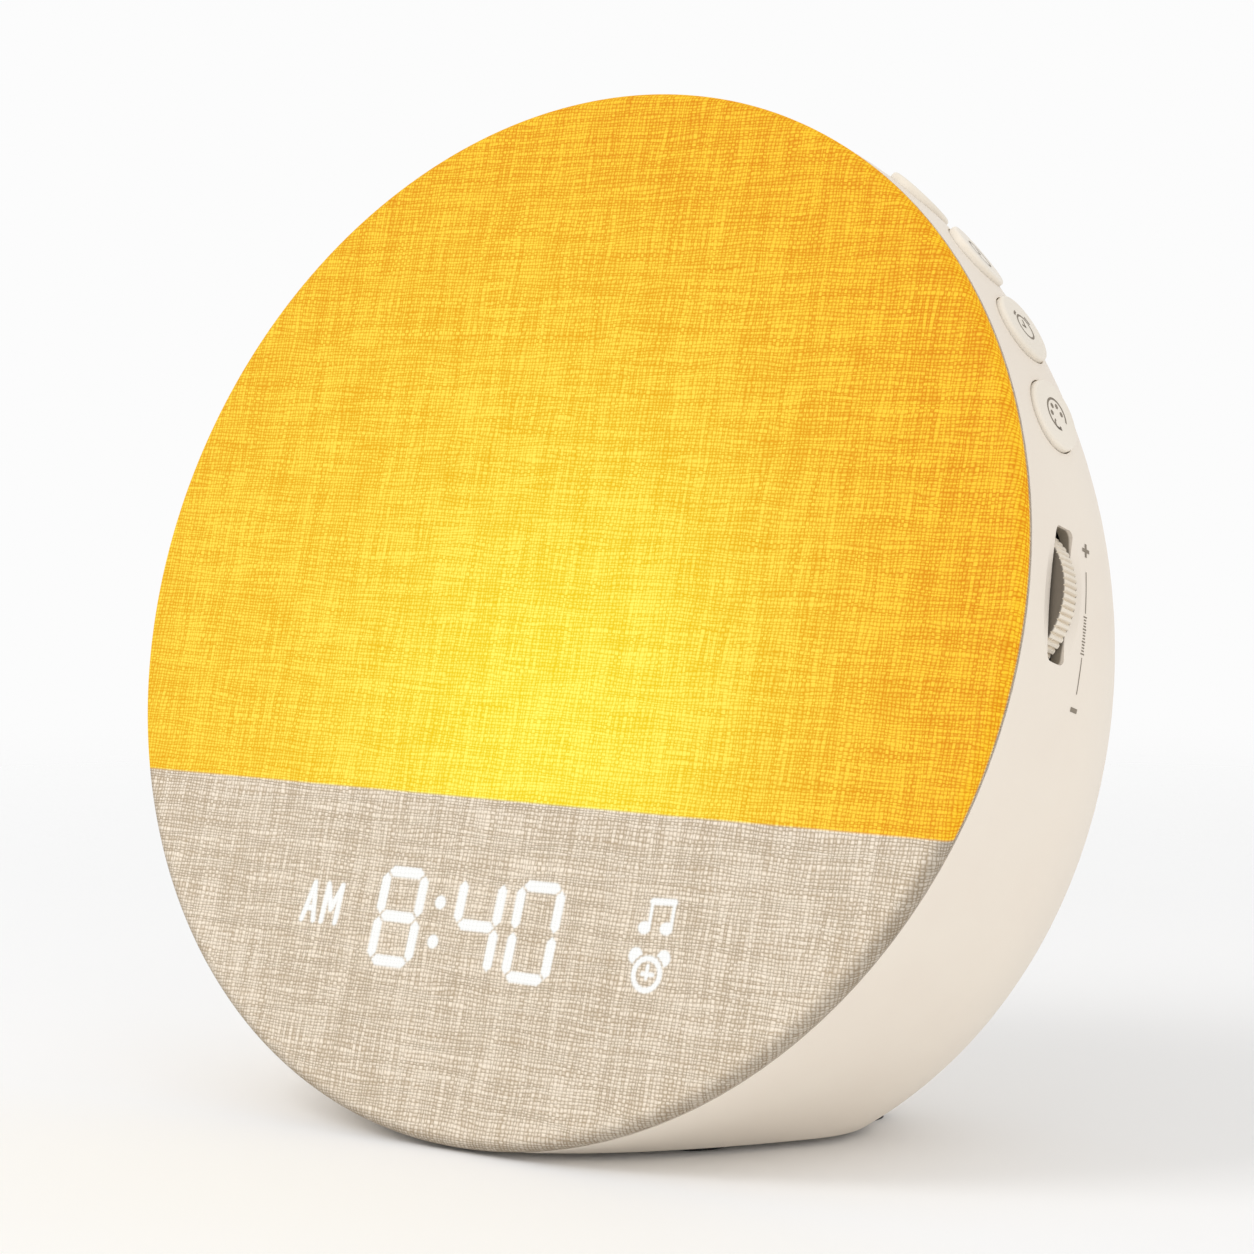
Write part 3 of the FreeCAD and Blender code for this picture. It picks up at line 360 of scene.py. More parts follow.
class GeometryTree(NodeTree):
    """A Geometry Nodes tree under construction, turned into a plain mesh at the end."""

    def __init__(self, name: str, **sizes: float) -> None:
        """Starts a tree whose named inputs are its sizes.

        Args:
            name: The tree's name.
            sizes: The value of each named input.
        """
        self.group = bpy.data.node_groups.new(name, "GeometryNodeTree")
        super().__init__(self.group)
        self.sizes = sizes
        self.group.interface.new_socket("Geometry", in_out="OUTPUT", socket_type="NodeSocketGeometry")
        for size in sizes:
            self.group.interface.new_socket(size, in_out="INPUT", socket_type="NodeSocketFloat")
        self.given = self.node("NodeGroupInput")

    def size(self, name: str) -> Maths:
        """A named input as a value."""
        return self.value(self.given.outputs[name])

    def mesh(self, geometry: bpy.types.NodeSocket, material: bpy.types.Material) -> bpy.types.Mesh:
        """Ends the tree, feeds its inputs and turns its result into a plain mesh.

        Args:
            geometry: What the tree has made.
            material: The material of all of it.

        Returns:
            The finished mesh.
        """
        real = self.node("GeometryNodeRealizeInstances", sockets={"Geometry": geometry}).outputs[0]
        dressed = self.node("GeometryNodeSetMaterial", sockets={"Geometry": real, "Material": material})
        self.node("NodeGroupOutput", sockets={0: dressed.outputs[0]})
        carrier = bpy.data.objects.new(self.group.name, bpy.data.meshes.new(self.group.name))
        bpy.context.scene.collection.objects.link(carrier)
        modifier = carrier.modifiers.new("tree", "NODES")
        modifier.node_group = self.group
        for item in self.group.interface.items_tree:
            if item.in_out == "INPUT":
                modifier[item.identifier] = self.sizes[item.name]
        made = carrier.evaluated_get(bpy.context.evaluated_depsgraph_get())
        mesh = bpy.data.meshes.new_from_object(made)
        carrier.modifiers.remove(modifier)
        bpy.data.objects.remove(carrier)
        return mesh


@dataclass(frozen=True)
class MouldedPlastic:
    """Satin moulded plastic: a faint mottle, a fine eroded grain and uneven gloss."""

    name: str
    light: Shade
    dark: Shade
    roughness: float = 0.5
    grain: float = 0.000008
    mottle_scale: float = 45.0
    grain_scale: float = 2600.0
    gloss_spread: float = 0.12

    def with_painted_shade(self, shop: Workshop, colour: bpy.types.NodeSocket) -> bpy.types.NodeSocket:
        """The colour with any painted shade; plain plastic has none."""
        return colour

    def make(self) -> bpy.types.Material:
        """Builds the material.

        Returns:
            The finished material.
        """
        shop = Workshop(self.name)
        mottle = shop.noise(None, self.mottle_scale, 3.0).step(0.3, 0.7)
        fine = shop.noise(None, self.grain_scale)
        colour = shop.blend(mottle, srgb(*self.dark), srgb(*self.light))
        shop.fix(Base_Color=self.with_painted_shade(shop, colour))
        shop.fix(Roughness=fine * self.gloss_spread + (self.roughness - self.gloss_spread / 2))
        shop.fix(Specular_IOR_Level=0.4)
        shop.bump(fine, self.grain)
        return shop.material


@dataclass(frozen=True)
class HousingPlastic(MouldedPlastic):
    """The housing's plastic, with painted shade on the walls of the thumbwheel's slot, where light hardly
    reaches.

    The slot's own sizes are in millimetres, and its turn is in degrees.
    """

    slot_turn: float = 5.6
    slot_depth: float = 13.5
    half_width: float = 2.66
    half_length: float = 10.88
    edge: float = 0.02
    open_reach: float = 89.3
    open_edge: float = 0.2
    control_side: Spot = (40.0, 50.0)
    shadow: Shade = (146, 136, 121)

    def with_painted_shade(self, shop: Workshop, colour: bpy.types.NodeSocket) -> bpy.types.NodeSocket:
        """Paints shade on what lies inside the slot's outline.

        Args:
            shop: The material being made.
            colour: The plain colour.

        Returns:
            The colour with the slot's painted shadow.
        """
        across, up, depth = shop.drum_place()
        turn = math.radians(self.slot_turn)
        along = (up * math.cos(turn) - across * math.sin(turn)).size()
        inside = 1.0 - (depth - self.slot_depth).size().step(self.half_width - self.edge, self.half_width)
        reach = (across * across + up * up).root()
        outside = reach.step(self.open_reach - self.open_edge, self.open_reach + self.open_edge)
        inside = inside * (1.0 - outside)
        inside = inside * (1.0 - along.step(self.half_length - self.edge, self.half_length))
        # painted shade: the slot's walls on the controls' side take the shadow colour
        return shop.blend(inside * across.step(*self.control_side), colour, srgb(*self.shadow))


@dataclass(frozen=True)
class WheelPlastic(MouldedPlastic):
    """The thumbwheel's plastic: pale ribs, with painted shade on the flanks, in millimetres behind the face.
    """

    middle: float = 13.5
    flank: float = 1.95
    edge: float = 0.1
    shadow: Shade = (118, 109, 97)

    def with_painted_shade(self, shop: Workshop, colour: bpy.types.NodeSocket) -> bpy.types.NodeSocket:
        """Paints shade on the flanks, which the slot shades.

        Args:
            shop: The material being made.
            colour: The plain colour.

        Returns:
            The colour with dark flanks.
        """
        _, _, depth = shop.drum_place()
        # painted shade on both flanks, all the way round the wheel, standing in for the slot's shadow
        side = (depth - self.middle).size().step(self.flank - self.edge, self.flank + self.edge)
        return shop.blend(side, colour, srgb(*self.shadow))


@dataclass(frozen=True)
class Metal:
    """Plated or coated metal with fine brushing and stains."""

    name: str
    light: Shade
    dark: Shade
    roughness: float = 0.35
    metallic: float = 1.0
    streak_scale: Spot = (400.0, 6000.0)
    stain_scale: float = 120.0

    def make(self) -> bpy.types.Material:
        """Builds the material.

        Returns:
            The finished material.
        """
        shop = Workshop(self.name)
        x, y, z = shop.place()
        level, upright = self.streak_scale
        streak = shop.noise(shop.vector(x * level, y * level, z * upright), 1.0)
        stain = shop.noise(None, self.stain_scale)
        shop.fix(Base_Color=shop.blend(stain, srgb(*self.dark), srgb(*self.light)))
        shop.fix(Roughness=streak * 0.2 + self.roughness, Metallic=self.metallic)
        shop.bump(streak, 0.00001)
        return shop.material


@dataclass(frozen=True)
class CircuitBoard:
    """Solder mask with faint tracks under it, in rows here and in columns there."""

    name: str
    mask: Shade
    track: Shade
    row_scale: float = 1800.0
    column_scale: float = 1500.0
    patch_scale: float = 90.0

    def make(self) -> bpy.types.Material:
        """Builds the material.

        Returns:
            The finished material.
        """
        shop = Workshop(self.name)
        x, _, z = shop.place()
        rows = (z * self.row_scale).sine().step(0.55, 0.8)
        columns = (x * self.column_scale).sine().step(0.7, 0.9)
        patch = shop.noise(None, self.patch_scale, 1.0).step(0.48, 0.52)
        tracks = rows * patch + columns * (1.0 - patch)
        shop.fix(Base_Color=shop.blend(tracks, srgb(*self.mask), srgb(*self.track)))
        shop.fix(Roughness=shop.noise(None, 300.0) * 0.2 + 0.3)
        shop.bump(tracks, 0.00003)
        return shop.material


@dataclass(frozen=True)
class Glow:
    """The colours that lit linen has, from the lamp's brightest place outwards."""

    core: Shade
    middle: Shade
    edge: Shade

    def spread(self, shop: Workshop, near: Maths, far: Maths) -> bpy.types.NodeSocket:
        """The colour by how near the lamp's brightest place and how far out a place is.

        Args:
            shop: The material being made.
            near: 1 at the brightest place, 0 well away from it.
            far: 0 in the middle, 1 at the edge.

        Returns:
            The colour.
        """
        inner = shop.blend(near, srgb(*self.middle), srgb(*self.core))
        return shop.blend(far, inner, srgb(*self.edge))


@dataclass(frozen=True)
class Pool:
    """A round pool of light on the face, in millimetres: its middle, and where it fades."""

    across: float
    up: float
    start: float
    end: float

    def fade(self, x: Maths, y: Maths) -> Maths:
        """How far out a place is, from 0 where the pool starts to fade to 1 where it ends."""
        off_x, off_y = x - self.across, y - self.up
        return (off_x * off_x + off_y * off_y).root().step(self.start, self.end)


@dataclass(frozen=True)
class Lamplight:
    """How the lamp lights the linen from behind: its pools, its lower edge and its colours."""

    near: Pool = Pool(2.7, -21.0, 2.0, 74.0)
    far: Pool = Pool(-20.0, -14.0, 44.0, 116.0)
    low: float = -33.0
    low_edge: float = 0.3
    rim: Spot = (91.4, 92.1)
    yarns: Glow = Glow((255, 250, 96), (255, 229, 68), (255, 208, 32))
    gaps: Glow = Glow((244, 212, 10), (238, 174, 2), (228, 140, 0))


@dataclass(frozen=True)
class Linen:
    """Plain-woven linen with uneven yarns, glowing where the lamp stands behind it.

    The pitches and the wander are in millimetres. A yarn wanders and changes its tone slowly along its length
    and quickly across it.
    """

    name: str = "linen"
    warp_pitch: float = 0.69
    weft_pitch: float = 0.57
    wander: float = 2.0
    wander_along: float = 0.06
    wander_across: float = 0.3
    tone_along: float = 0.07
    tone_across: float = 3.7
    knot_scale: float = 1.7
    # where the painted shade on the cloth's wrapped rim begins and where it is full
    rim_shade: Spot = (87.6, 90.4)
    pale: Shade = (248, 235, 217)
    deep: Shade = (190, 171, 146)
    lamp: Lamplight = Lamplight()

    def weave(self, shop: Workshop, x: Maths, y: Maths) -> tuple[Maths, Maths]:
        """The weave's height and its tone, each from 0 to 1.

        Args:
            shop: The material being made.
            x: The place along the weft, in millimetres.
            y: The place along the warp, in millimetres.

        Returns:
            The height of the yarns and how pale each yarn is.
        """
        wander_x = shop.noise(shop.vector(x * self.wander_across, y * self.wander_along, 3.0), 1.0)
        wander_y = shop.noise(shop.vector(x * self.wander_along, y * self.wander_across, 9.0), 1.0)
        column = (x + wander_x * self.wander) / self.warp_pitch
        row = (y + wander_y * self.wander) / self.weft_pitch
        warp = (column * math.pi).sine()
        weft = (row * math.pi).sine()
        over = (warp * weft).step(-0.2, 0.2)
        warp_height = warp.size().power(0.7) * (weft.size() * 0.5 + 0.5)
        weft_height = weft.size().power(0.7) * (warp.size() * 0.5 + 0.5)
        height = over * warp_height + (1.0 - over) * weft_height
        warp_place = shop.vector(column.whole() * self.tone_across, y * self.tone_along, 5.0)
        weft_place = shop.vector(x * self.tone_along, row.whole() * self.tone_across, 1.0)
        warp_tone, weft_tone = (shop.noise(place, 1.0, 1.0) for place in (warp_place, weft_place))
        tone = (over * warp_tone + (1.0 - over) * weft_tone).step(0.3, 0.72)
        knot_place = shop.vector(column * self.knot_scale, row * self.knot_scale, 7.0)
        knots = shop.noise(knot_place, 1.0, 0.0).step(0.3, 0.7)
        return height, tone * 0.7 + knots * 0.3

    def lamplight(self, shop: Workshop, x: Maths, y: Maths, shade: Maths) -> bpy.types.NodeSocket:
        """The colour of the lit linen, from the yellow core to the orange edge.

        Args:
            shop: The material being made.
            x: The place across, in millimetres.
            y: The place up, in millimetres.
            shade: How pale the weave is there, from 0 to 1.

        Returns:
            The colour.
        """
        near, far = 1.0 - self.lamp.near.fade(x, y), self.lamp.far.fade(x, y)
        gaps, yarns = (glow.spread(shop, near, far) for glow in (self.lamp.gaps, self.lamp.yarns))
        return shop.blend(shade, gaps, yarns)

    def make(self) -> bpy.types.Material:
        """Builds the material.

        Returns:
            The finished material.
        """
        shop = Workshop(self.name)
        x, y = shop.flat("weave")
        height, tone = self.weave(shop, x, y)
        # The weave's paleness: each yarn's own tone, mixed with painted shade in the low gaps between the
        # yarns.
        shade = (height * 0.52 + tone * 0.48).step(0.2, 0.88)
        reach = (x * x + y * y).root()
        cloth = shop.blend(shade, srgb(*self.deep), srgb(*self.pale))
        # painted shade on the rounded rim, where the cloth wraps away from the light
        cloth = shop.dim(cloth, 1.0 - reach.step(*self.rim_shade) * 0.34)
        lit = y.step(self.lamp.low - self.lamp.low_edge, self.lamp.low + self.lamp.low_edge)
        lit = lit * (1.0 - reach.step(*self.lamp.rim))
        shop.fix(Base_Color=shop.dim(cloth, 1.0 - lit * 0.95))
        shop.fix(Emission_Color=shop.dim(self.lamplight(shop, x, y, shade), lit), Emission_Strength=1.0)
        shop.fix(Roughness=tone * 0.1 + 0.85, Specular_IOR_Level=0.04)
        shop.bump(height, 0.0002, 0.9)
        return shop.material


@dataclass(frozen=True)
class GlowingSigns:
    """White light through the linen, where the mesh's own lit value says so."""

    name: str = "glowing_signs"
    white: Shade = (255, 255, 253)

    def make(self) -> bpy.types.Material:
        """Builds the material.

        Returns:
            The finished material.
        """
        shop = Workshop(self.name)
        height, tone = Linen().weave(shop, *shop.flat("weave"))
        lit = shop.value(shop.node("ShaderNodeAttribute", {"attribute_name": "lit"}).outputs["Fac"])
        share = lit * (height * 0.25 + tone * 0.1 + 0.75)
        shop.fix(Emission_Color=shop.dim(srgb(*self.white), height * 0.1 + 0.95), Emission_Strength=1.0)
        shop.fix(Alpha=share.step(0.0, 0.95), Base_Color=srgb(0, 0, 0), Specular_IOR_Level=0.0, Roughness=1.0)
        return shop.material


@dataclass(frozen=True)
class Ink:
    """Printed or engraved marks, a little worn."""

    name: str
    dark: Shade = (128, 117, 102)
    light: Shade = (146, 135, 119)
    wear_scale: float = 900.0

    def make(self) -> bpy.types.Material:
        """Builds the material.

        Returns:
            The finished material.
        """
        shop = Workshop(self.name)
        wear = shop.noise(None, self.wear_scale)
        shop.fix(Base_Color=shop.blend(wear, srgb(*self.dark), srgb(*self.light)))
        shop.fix(Roughness=wear * 0.2 + 0.55)
        shop.bump(wear, 0.00001)
        return shop.material


class Finish(Enum):
    """The finishes of the clock's pieces."""

    HOUSING = HousingPlastic("housing_satin", (239, 229, 215), (237, 226, 212), 0.52)
    CAPS = MouldedPlastic("cap_satin", (240, 231, 217), (235, 226, 211), 0.46)
    WHEEL = WheelPlastic("wheel_satin", (236, 226, 210), (229, 218, 201), 0.5)
    FRAME = MouldedPlastic("frame_satin", (206, 193, 174), (198, 184, 165), 0.55)
    CARRIER = MouldedPlastic("carrier_plastic", (176, 166, 150), (164, 154, 138), 0.6)
    FASCIA = MouldedPlastic("fascia_plastic", (150, 138, 122), (140, 128, 112), 0.6)
    OPAL = MouldedPlastic("opal_diffuser", (244, 240, 228), (238, 232, 218), 0.35)
    LENS = MouldedPlastic("smoked_window", (84, 80, 76), (70, 67, 64), 0.12, 0.000002)
    GUIDE = MouldedPlastic("light_guide", (250, 249, 244), (240, 240, 236), 0.25)
    BLACK = MouldedPlastic("black_moulding", (34, 34, 36), (24, 24, 26), 0.5)
    NYLON = MouldedPlastic("nylon_plunger", (206, 203, 194), (196, 192, 182), 0.4)
    REFLECTOR = MouldedPlastic("white_reflector", (242, 242, 238), (236, 236, 231), 0.3)
    RUBBER = MouldedPlastic("foot_rubber", (44, 43, 42), (32, 31, 31), 0.8, 0.00006)
    PAPER = MouldedPlastic("cone_paper", (46, 43, 40), (34, 32, 30), 0.9, 0.00012, 300.0)
    DIODE = MouldedPlastic("diode_phosphor", (248, 226, 130), (240, 214, 112), 0.3)
    LEAD = MouldedPlastic("lead_cover", (40, 38, 38), (28, 27, 27), 0.45)
    STEEL = Metal("plated_steel", (196, 196, 198), (168, 168, 172))
    BRACKET = Metal("blackened_steel", (88, 86, 84), (68, 66, 64), 0.5, 0.6)
    BASKET = Metal("coated_basket", (44, 44, 46), (32, 32, 34), 0.5, 0.3)
    FERRITE = Metal("ferrite_magnet", (66, 66, 68), (50, 50, 52), 0.55, 0.5)
    BRASS = Metal("brass_pin", (206, 172, 96), (186, 150, 80))
    ALUMINIUM = Metal("lamp_board_mask", (232, 232, 228), (220, 220, 216), 0.4, 0.1)
    BOARD = CircuitBoard("main_board_mask", (20, 84, 44), (40, 112, 62))
    LINEN = Linen()
    SIGNS = GlowingSigns()
    PRINT = Ink("scale_print")
    ENGRAVING = Ink("cap_engraving", (120, 109, 95), (140, 129, 113))


class Finishes:
    """Each finish's material, made once when a piece first asks for it."""

    def __init__(self) -> None:
        """Starts with no material made."""
        self.made: dict[Finish, bpy.types.Material] = {}

    def __getitem__(self, finish: Finish) -> bpy.types.Material:
        """The material of a finish.

        Args:
            finish: Which finish.

        Returns:
            Its material.
        """
        if finish not in self.made:
            self.made[finish] = finish.value.make()
        return self.made[finish]


def as_mesh(name: str, shape: bmesh.types.BMesh) -> bpy.types.Mesh:
    """Turns a shape that was built face by face into a mesh.

    Args:
        name: The mesh's name.
        shape: The shape, which is freed.

    Returns:
        The mesh.
    """
    mesh = bpy.data.meshes.new(name)
    shape.to_mesh(mesh)
    shape.free()
    return mesh


def new_object(
    name: str, mesh: bpy.types.Mesh, material: bpy.types.Material, smooth: bool = True,
) -> bpy.types.Object:
    """Adds a mesh to the scene as an object at the origin.

    Args:
        name: The object's name.
        mesh: Its mesh, with its place in its vertices.
        material: Its only material.
        smooth: Whether its faces are shaded smooth.

    Returns:
        The new object.
    """
    made = bpy.data.objects.new(name, mesh)
    bpy.context.scene.collection.objects.link(made)
    mesh.materials.clear()
    mesh.materials.append(material)
    mesh.polygons.foreach_set("use_smooth", [smooth] * len(mesh.polygons))
    log.info("%s: %d faces", name, len(mesh.polygons))
    return made


NODE_FINISHES: dict[str, Finish] = {
    "main_housing": Finish.HOUSING, "rear_cover": Finish.HOUSING, "front_frame": Finish.FRAME,
    "rubber_feet": Finish.RUBBER, "light_diffuser": Finish.OPAL, "display_fascia": Finish.FASCIA,
    "display_lens": Finish.LENS, "display_segments": Finish.GUIDE, "display_indicators": Finish.GUIDE,
    "display_block": Finish.BLACK, "main_board": Finish.BOARD, "main_board_parts": Finish.BLACK,
    "main_board_screws": Finish.STEEL, "lamp_reflector": Finish.REFLECTOR, "lamp_board": Finish.ALUMINIUM,
    "lamp_leds": Finish.DIODE, "lamp_board_screws": Finish.STEEL, "button_carrier": Finish.CARRIER,
    "button_switches": Finish.BLACK, "carrier_screws": Finish.STEEL, "wheel_shaft": Finish.STEEL,
    "potentiometer": Finish.BLACK, "wheel_bracket": Finish.BRACKET, "bracket_screws": Finish.STEEL,
    "volume_wheel": Finish.WHEEL, "rear_cover_screws": Finish.STEEL, "speaker_gasket": Finish.RUBBER,
    "speaker_frame": Finish.BASKET, "speaker_surround": Finish.RUBBER, "speaker_cone": Finish.PAPER,
    "speaker_magnet": Finish.FERRITE, "speaker_screws": Finish.STEEL, "power_jack": Finish.BLACK,
    "jack_pin": Finish.BRASS, "lamp_lead": Finish.LEAD, "speaker_lead": Finish.LEAD,
    "power_lead": Finish.LEAD, "control_lead": Finish.LEAD, "palette_button": Finish.CAPS,
    "alarm_button": Finish.CAPS, "time_button": Finish.CAPS, "sound_button": Finish.CAPS,
    "switch_plunger_1": Finish.NYLON, "switch_plunger_2": Finish.NYLON,
    "switch_plunger_3": Finish.NYLON, "switch_plunger_4": Finish.NYLON,
}


@dataclass
class CarriedPieces:
    """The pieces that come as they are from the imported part, each with its finish."""

    finishes: Finishes

    def dress(self, nodes: dict[str, bpy.types.Object]) -> None:
        """Gives each node its material.

        Args:
            nodes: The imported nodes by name.
        """
        for name, finish in NODE_FINISHES.items():
            slots = nodes[name].data.materials
            slots.clear()
            slots.append(self.finishes[finish])
        log.info("%d nodes dressed", len(NODE_FINISHES))


# A ring of the linen: its radius, its depth behind the face and its length along the cloth, in millimetres.
Ring = tuple[float, float, float]
Rows = list[list[bmesh.types.BMVert]]


@dataclass
class LinenCover:
    """The linen stretched over the front and round its rim, in millimetres."""

    finishes: Finishes
    thickness: float = 0.7
    rim_round: float = 1.8
    band: float = 3.05
    hem_start: float = 0.35
    hem_end: float = 0.08
    hem_in: float = 0.12
    hem_length: float = 0.3
    rings: int = 60
    bends: int = 8
    sectors: int = 360
    lengths: dict[bmesh.types.BMVert, Spot] = field(default_factory=dict)

    def outer(self) -> list[Ring]:
        """The line of the outside, from the middle of the face to the hem.

        Returns:
            Its rings.
        """
        reach = DRUM.radius / MM
        flat = reach - self.rim_round
        radii = [flat * index / self.rings for index in range(1, self.rings + 1)]
        line = [(radius, 0.0, radius) for radius in radii]
        for index in range(1, self.bends + 1):
            turn = math.pi / 2 * index / self.bends
            radius = flat + self.rim_round * math.sin(turn)
            line.append((radius, self.rim_round * (1 - math.cos(turn)), flat + self.rim_round * turn))
        hem = self.band - self.rim_round
        line.append((reach, self.band - self.hem_start, line[-1][2] + hem - self.hem_start))
        line.append((reach - self.hem_in, self.band - self.hem_end, line[-1][2] + self.hem_length))
        return line

    def inner(self, outer: list[Ring]) -> list[Ring]:
        """The line of the inside, one thickness behind the face and inside the rim.

        Args:
            outer: The rings of the outside.

        Returns:
            The rings of the inside.
        """
        corner = self.rim_round * 0.6
        return [
            (radius, max(depth, self.thickness), length) if depth < corner
            else (radius - self.thickness, depth, length)
            for radius, depth, length in outer
        ]

    def points(self, shape: bmesh.types.BMesh, line: list[Ring]) -> Rows:
        """Adds the points of one side of the cloth.

        Args:
            shape: The mesh being built.
            line: The side's rings.

        Returns:
            The middle point alone, then the points of each ring.
        """
        middle = shape.verts.new(DRUM.face(0, 0, line[0][1] * MM))
        self.lengths[middle] = (0.0, 0.0)
        rows = [[middle]]
        for radius, depth, length in line:
            rows.append([])
            for index in range(self.sectors):
                turn = 2 * math.pi * index / self.sectors
                x, y = math.cos(turn), math.sin(turn)
                vertex = shape.verts.new(DRUM.face(radius * x * MM, radius * y * MM, depth * MM))
                self.lengths[vertex] = (length * x, length * y)
                rows[-1].append(vertex)
        return rows

    def fill(self, shape: bmesh.types.BMesh, rows: Rows, inside: bool) -> None:
        """Adds the faces of one side of the cloth.

        Args:
            shape: The mesh being built.
            rows: The side's points.
            inside: Whether it is the inside, whose faces point the other way.
        """
        way = -1 if inside else 1
        for index in range(self.sectors):
            following = (index + 1) % self.sectors
            shape.faces.new([rows[0][0], rows[1][index], rows[1][following]][::way])
            for low, high in zip(rows[1:], rows[2:]):
                shape.faces.new([low[index], high[index], high[following], low[following]][::way])

    def build(self) -> bpy.types.Object:
        """Makes the cover, a thin closed sheet, in place of the plain solid.

        Returns:
            The cover.
        """
        shape = bmesh.new()
        weave = shape.loops.layers.uv.new("weave")
        outer = self.outer()
        front, back = self.points(shape, outer), self.points(shape, self.inner(outer))
        self.fill(shape, front, False)
        self.fill(shape, back, True)
        for index in range(self.sectors):
            following = (index + 1) % self.sectors
            shape.faces.new([front[-1][index], back[-1][index], back[-1][following], front[-1][following]])
        for face in shape.faces:
            for loop in face.loops:
                loop[weave].uv = self.lengths[loop.vert]
        cover = new_object("linen_cover", as_mesh("linen_cover", shape), self.finishes[Finish.LINEN])
        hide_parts("fabric_cover")
        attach(cover, "clock")
        across = 2 * outer[-1][2] * MM
        math.pi * (across / 2) ** 2
        return cover


@dataclass
class GlowingDisplay:
    """The time and its small signs, as light through the linen, in millimetres across and up the face."""

    finishes: Finishes
    left: float = -43.0
    right: float = 39.5
    low: float = -65.0
    high: float = -43.5
    cell: float = 0.25
    lift: float = 0.06
    middle: float = -54.1
    digits: tuple[tuple[float, str], ...] = ((-19.45, "abcdefg"), (-2.65, "bcfg"), (9.45, "abcdef"))
    digit_height: float = 16.8
    digit_width: float = 9.9
    stroke: float = 1.75
    gap: float = 0.32
    slant: float = math.radians(2.0)
    colon: tuple[Spot, Spot] = ((-10.95, 3.2), (-11.05, -3.4))
    dot_radius: float = 1.1
    mark_place: Spot = (-36.9, -2.2)
    note_place: Spot = (33.9, 2.9)
    bell_place: Spot = (33.3, -4.4)
    blur: float = 0.28
    halo: float = 0.16
    halo_reach: float = 0.9
    least_light: float = 0.012

    def bar(self, x: float, y: float, start: Spot, end: Spot, half: float) -> float:
        """How far a place lies outside a round-ended bar.

        Args:
            x: The place across.
            y: The place up.
            start: The middle of the bar's first end.
            end: The middle of its other end.
            half: Half its width.

        Returns:
            The distance, below zero inside the bar.
        """
        run_x, run_y = end[0] - start[0], end[1] - start[1]
        share = ((x - start[0]) * run_x + (y - start[1]) * run_y) / (run_x * run_x + run_y * run_y)
        share = max(0.0, min(1.0, share))
        return math.hypot(x - start[0] - share * run_x, y - start[1] - share * run_y) - half

    def segment(self, x: float, y: float, level: bool, half_length: float) -> float:
        """How far a place lies outside a digit's segment with bevelled ends.

        Args:
            x: The place across from the segment's middle.
            y: The place up from the segment's middle.
            level: Whether the segment lies level.
            half_length: Half its length.

        Returns:
            The distance, below zero inside the segment.
        """
        along, across = (abs(x), abs(y)) if level else (abs(y), abs(x))
        return max(across - self.stroke / 2, (along + across - half_length) * 0.7071)

    def digit(self, x: float, y: float, segments: str) -> float:
        """How far a place lies outside a seven-segment digit.

        Args:
            x: The place across from the digit's middle.
            y: The place up from the digit's middle.
            segments: The lit segments, each a letter from a to g.

        Returns:
            The distance, below zero inside a lit segment.
        """
        wide = (self.digit_width - self.stroke) / 2
        tall = (self.digit_height - self.stroke) / 2
        x -= y * math.tan(self.slant)
        places = {
            "a": (0, tall, True), "g": (0, 0, True), "d": (0, -tall, True),
            "f": (-wide, tall / 2, False), "b": (wide, tall / 2, False),
            "e": (-wide, -tall / 2, False), "c": (wide, -tall / 2, False),
        }
        outside = []
        for letter in segments:
            across, up, level = places[letter]
            half_length = (wide if level else tall / 2) - self.gap
            outside.append(self.segment(x - across, y - up, level, half_length))
        return min(outside)

    def morning_mark(self, x: float, y: float) -> float:
        """How far a place lies outside the letters of the morning mark.

        Args:
            x: The place across from the mark's middle.
            y: The place up from the letters' feet.

        Returns:
            The distance, below zero inside a letter.
        """
        tall, half, slant = 6.3, 0.48, 0.06
        first = (((-3.6, 0.0), (-2.3, tall)), ((-2.3, tall), (-1.0, 0.0)), ((-3.1, 2.0), (-1.5, 2.0)))
        second = ((0.8, 0.0), (0.8, tall), (2.35, 2.2), (3.9, tall), (3.9, 0.0))
        strokes = first + tuple(zip(second, second[1:]))
        return min(self.bar(x - y * slant, y, start, end, half) for start, end in strokes)

    def note(self, x: float, y: float) -> float:
        """How far a place lies outside a plain pair of quavers.

        Args:
            x: The place across from the sign's middle.
            y: The place up from the notes' heads.

        Returns:
            The distance, below zero inside the sign.
        """
        head, flatter, stem, beam = 1.0, 0.85, 0.28, 0.5
        return min(
            math.hypot((x + 2.6) * flatter, y) - head, math.hypot((x - 1.7) * flatter, y - 0.2) - head,
            self.bar(x, y, (-1.75, 0.2), (-1.75, 4.4), stem), self.bar(x, y, (2.55, 0.4), (2.55, 4.6), stem),
            self.bar(x, y, (-1.75, 4.3), (2.55, 4.5), beam),
        )

    def bell(self, x: float, y: float) -> float:
        """How far a place lies outside a plain clock with two bells.

        Args:
            x: The place across from the clock's middle.
            y: The place up from the clock's middle.

        Returns:
            The distance, below zero inside the sign.
        """
        rim, line, hand, bell, aside, clear = 2.55, 0.42, 0.3, 1.3, 2.75, 3.4
        reach = math.hypot(x, y)
        hands = min(self.bar(x, y, (0, -0.6), (0, 1.35), hand), self.bar(x, y, (-0.9, 0), (1.2, 0), hand))
        bells = min(math.hypot(x + aside, y - aside) - bell, math.hypot(x - aside, y - aside) - bell)
        return min(abs(reach - rim) - line, hands, max(bells, clear - reach))

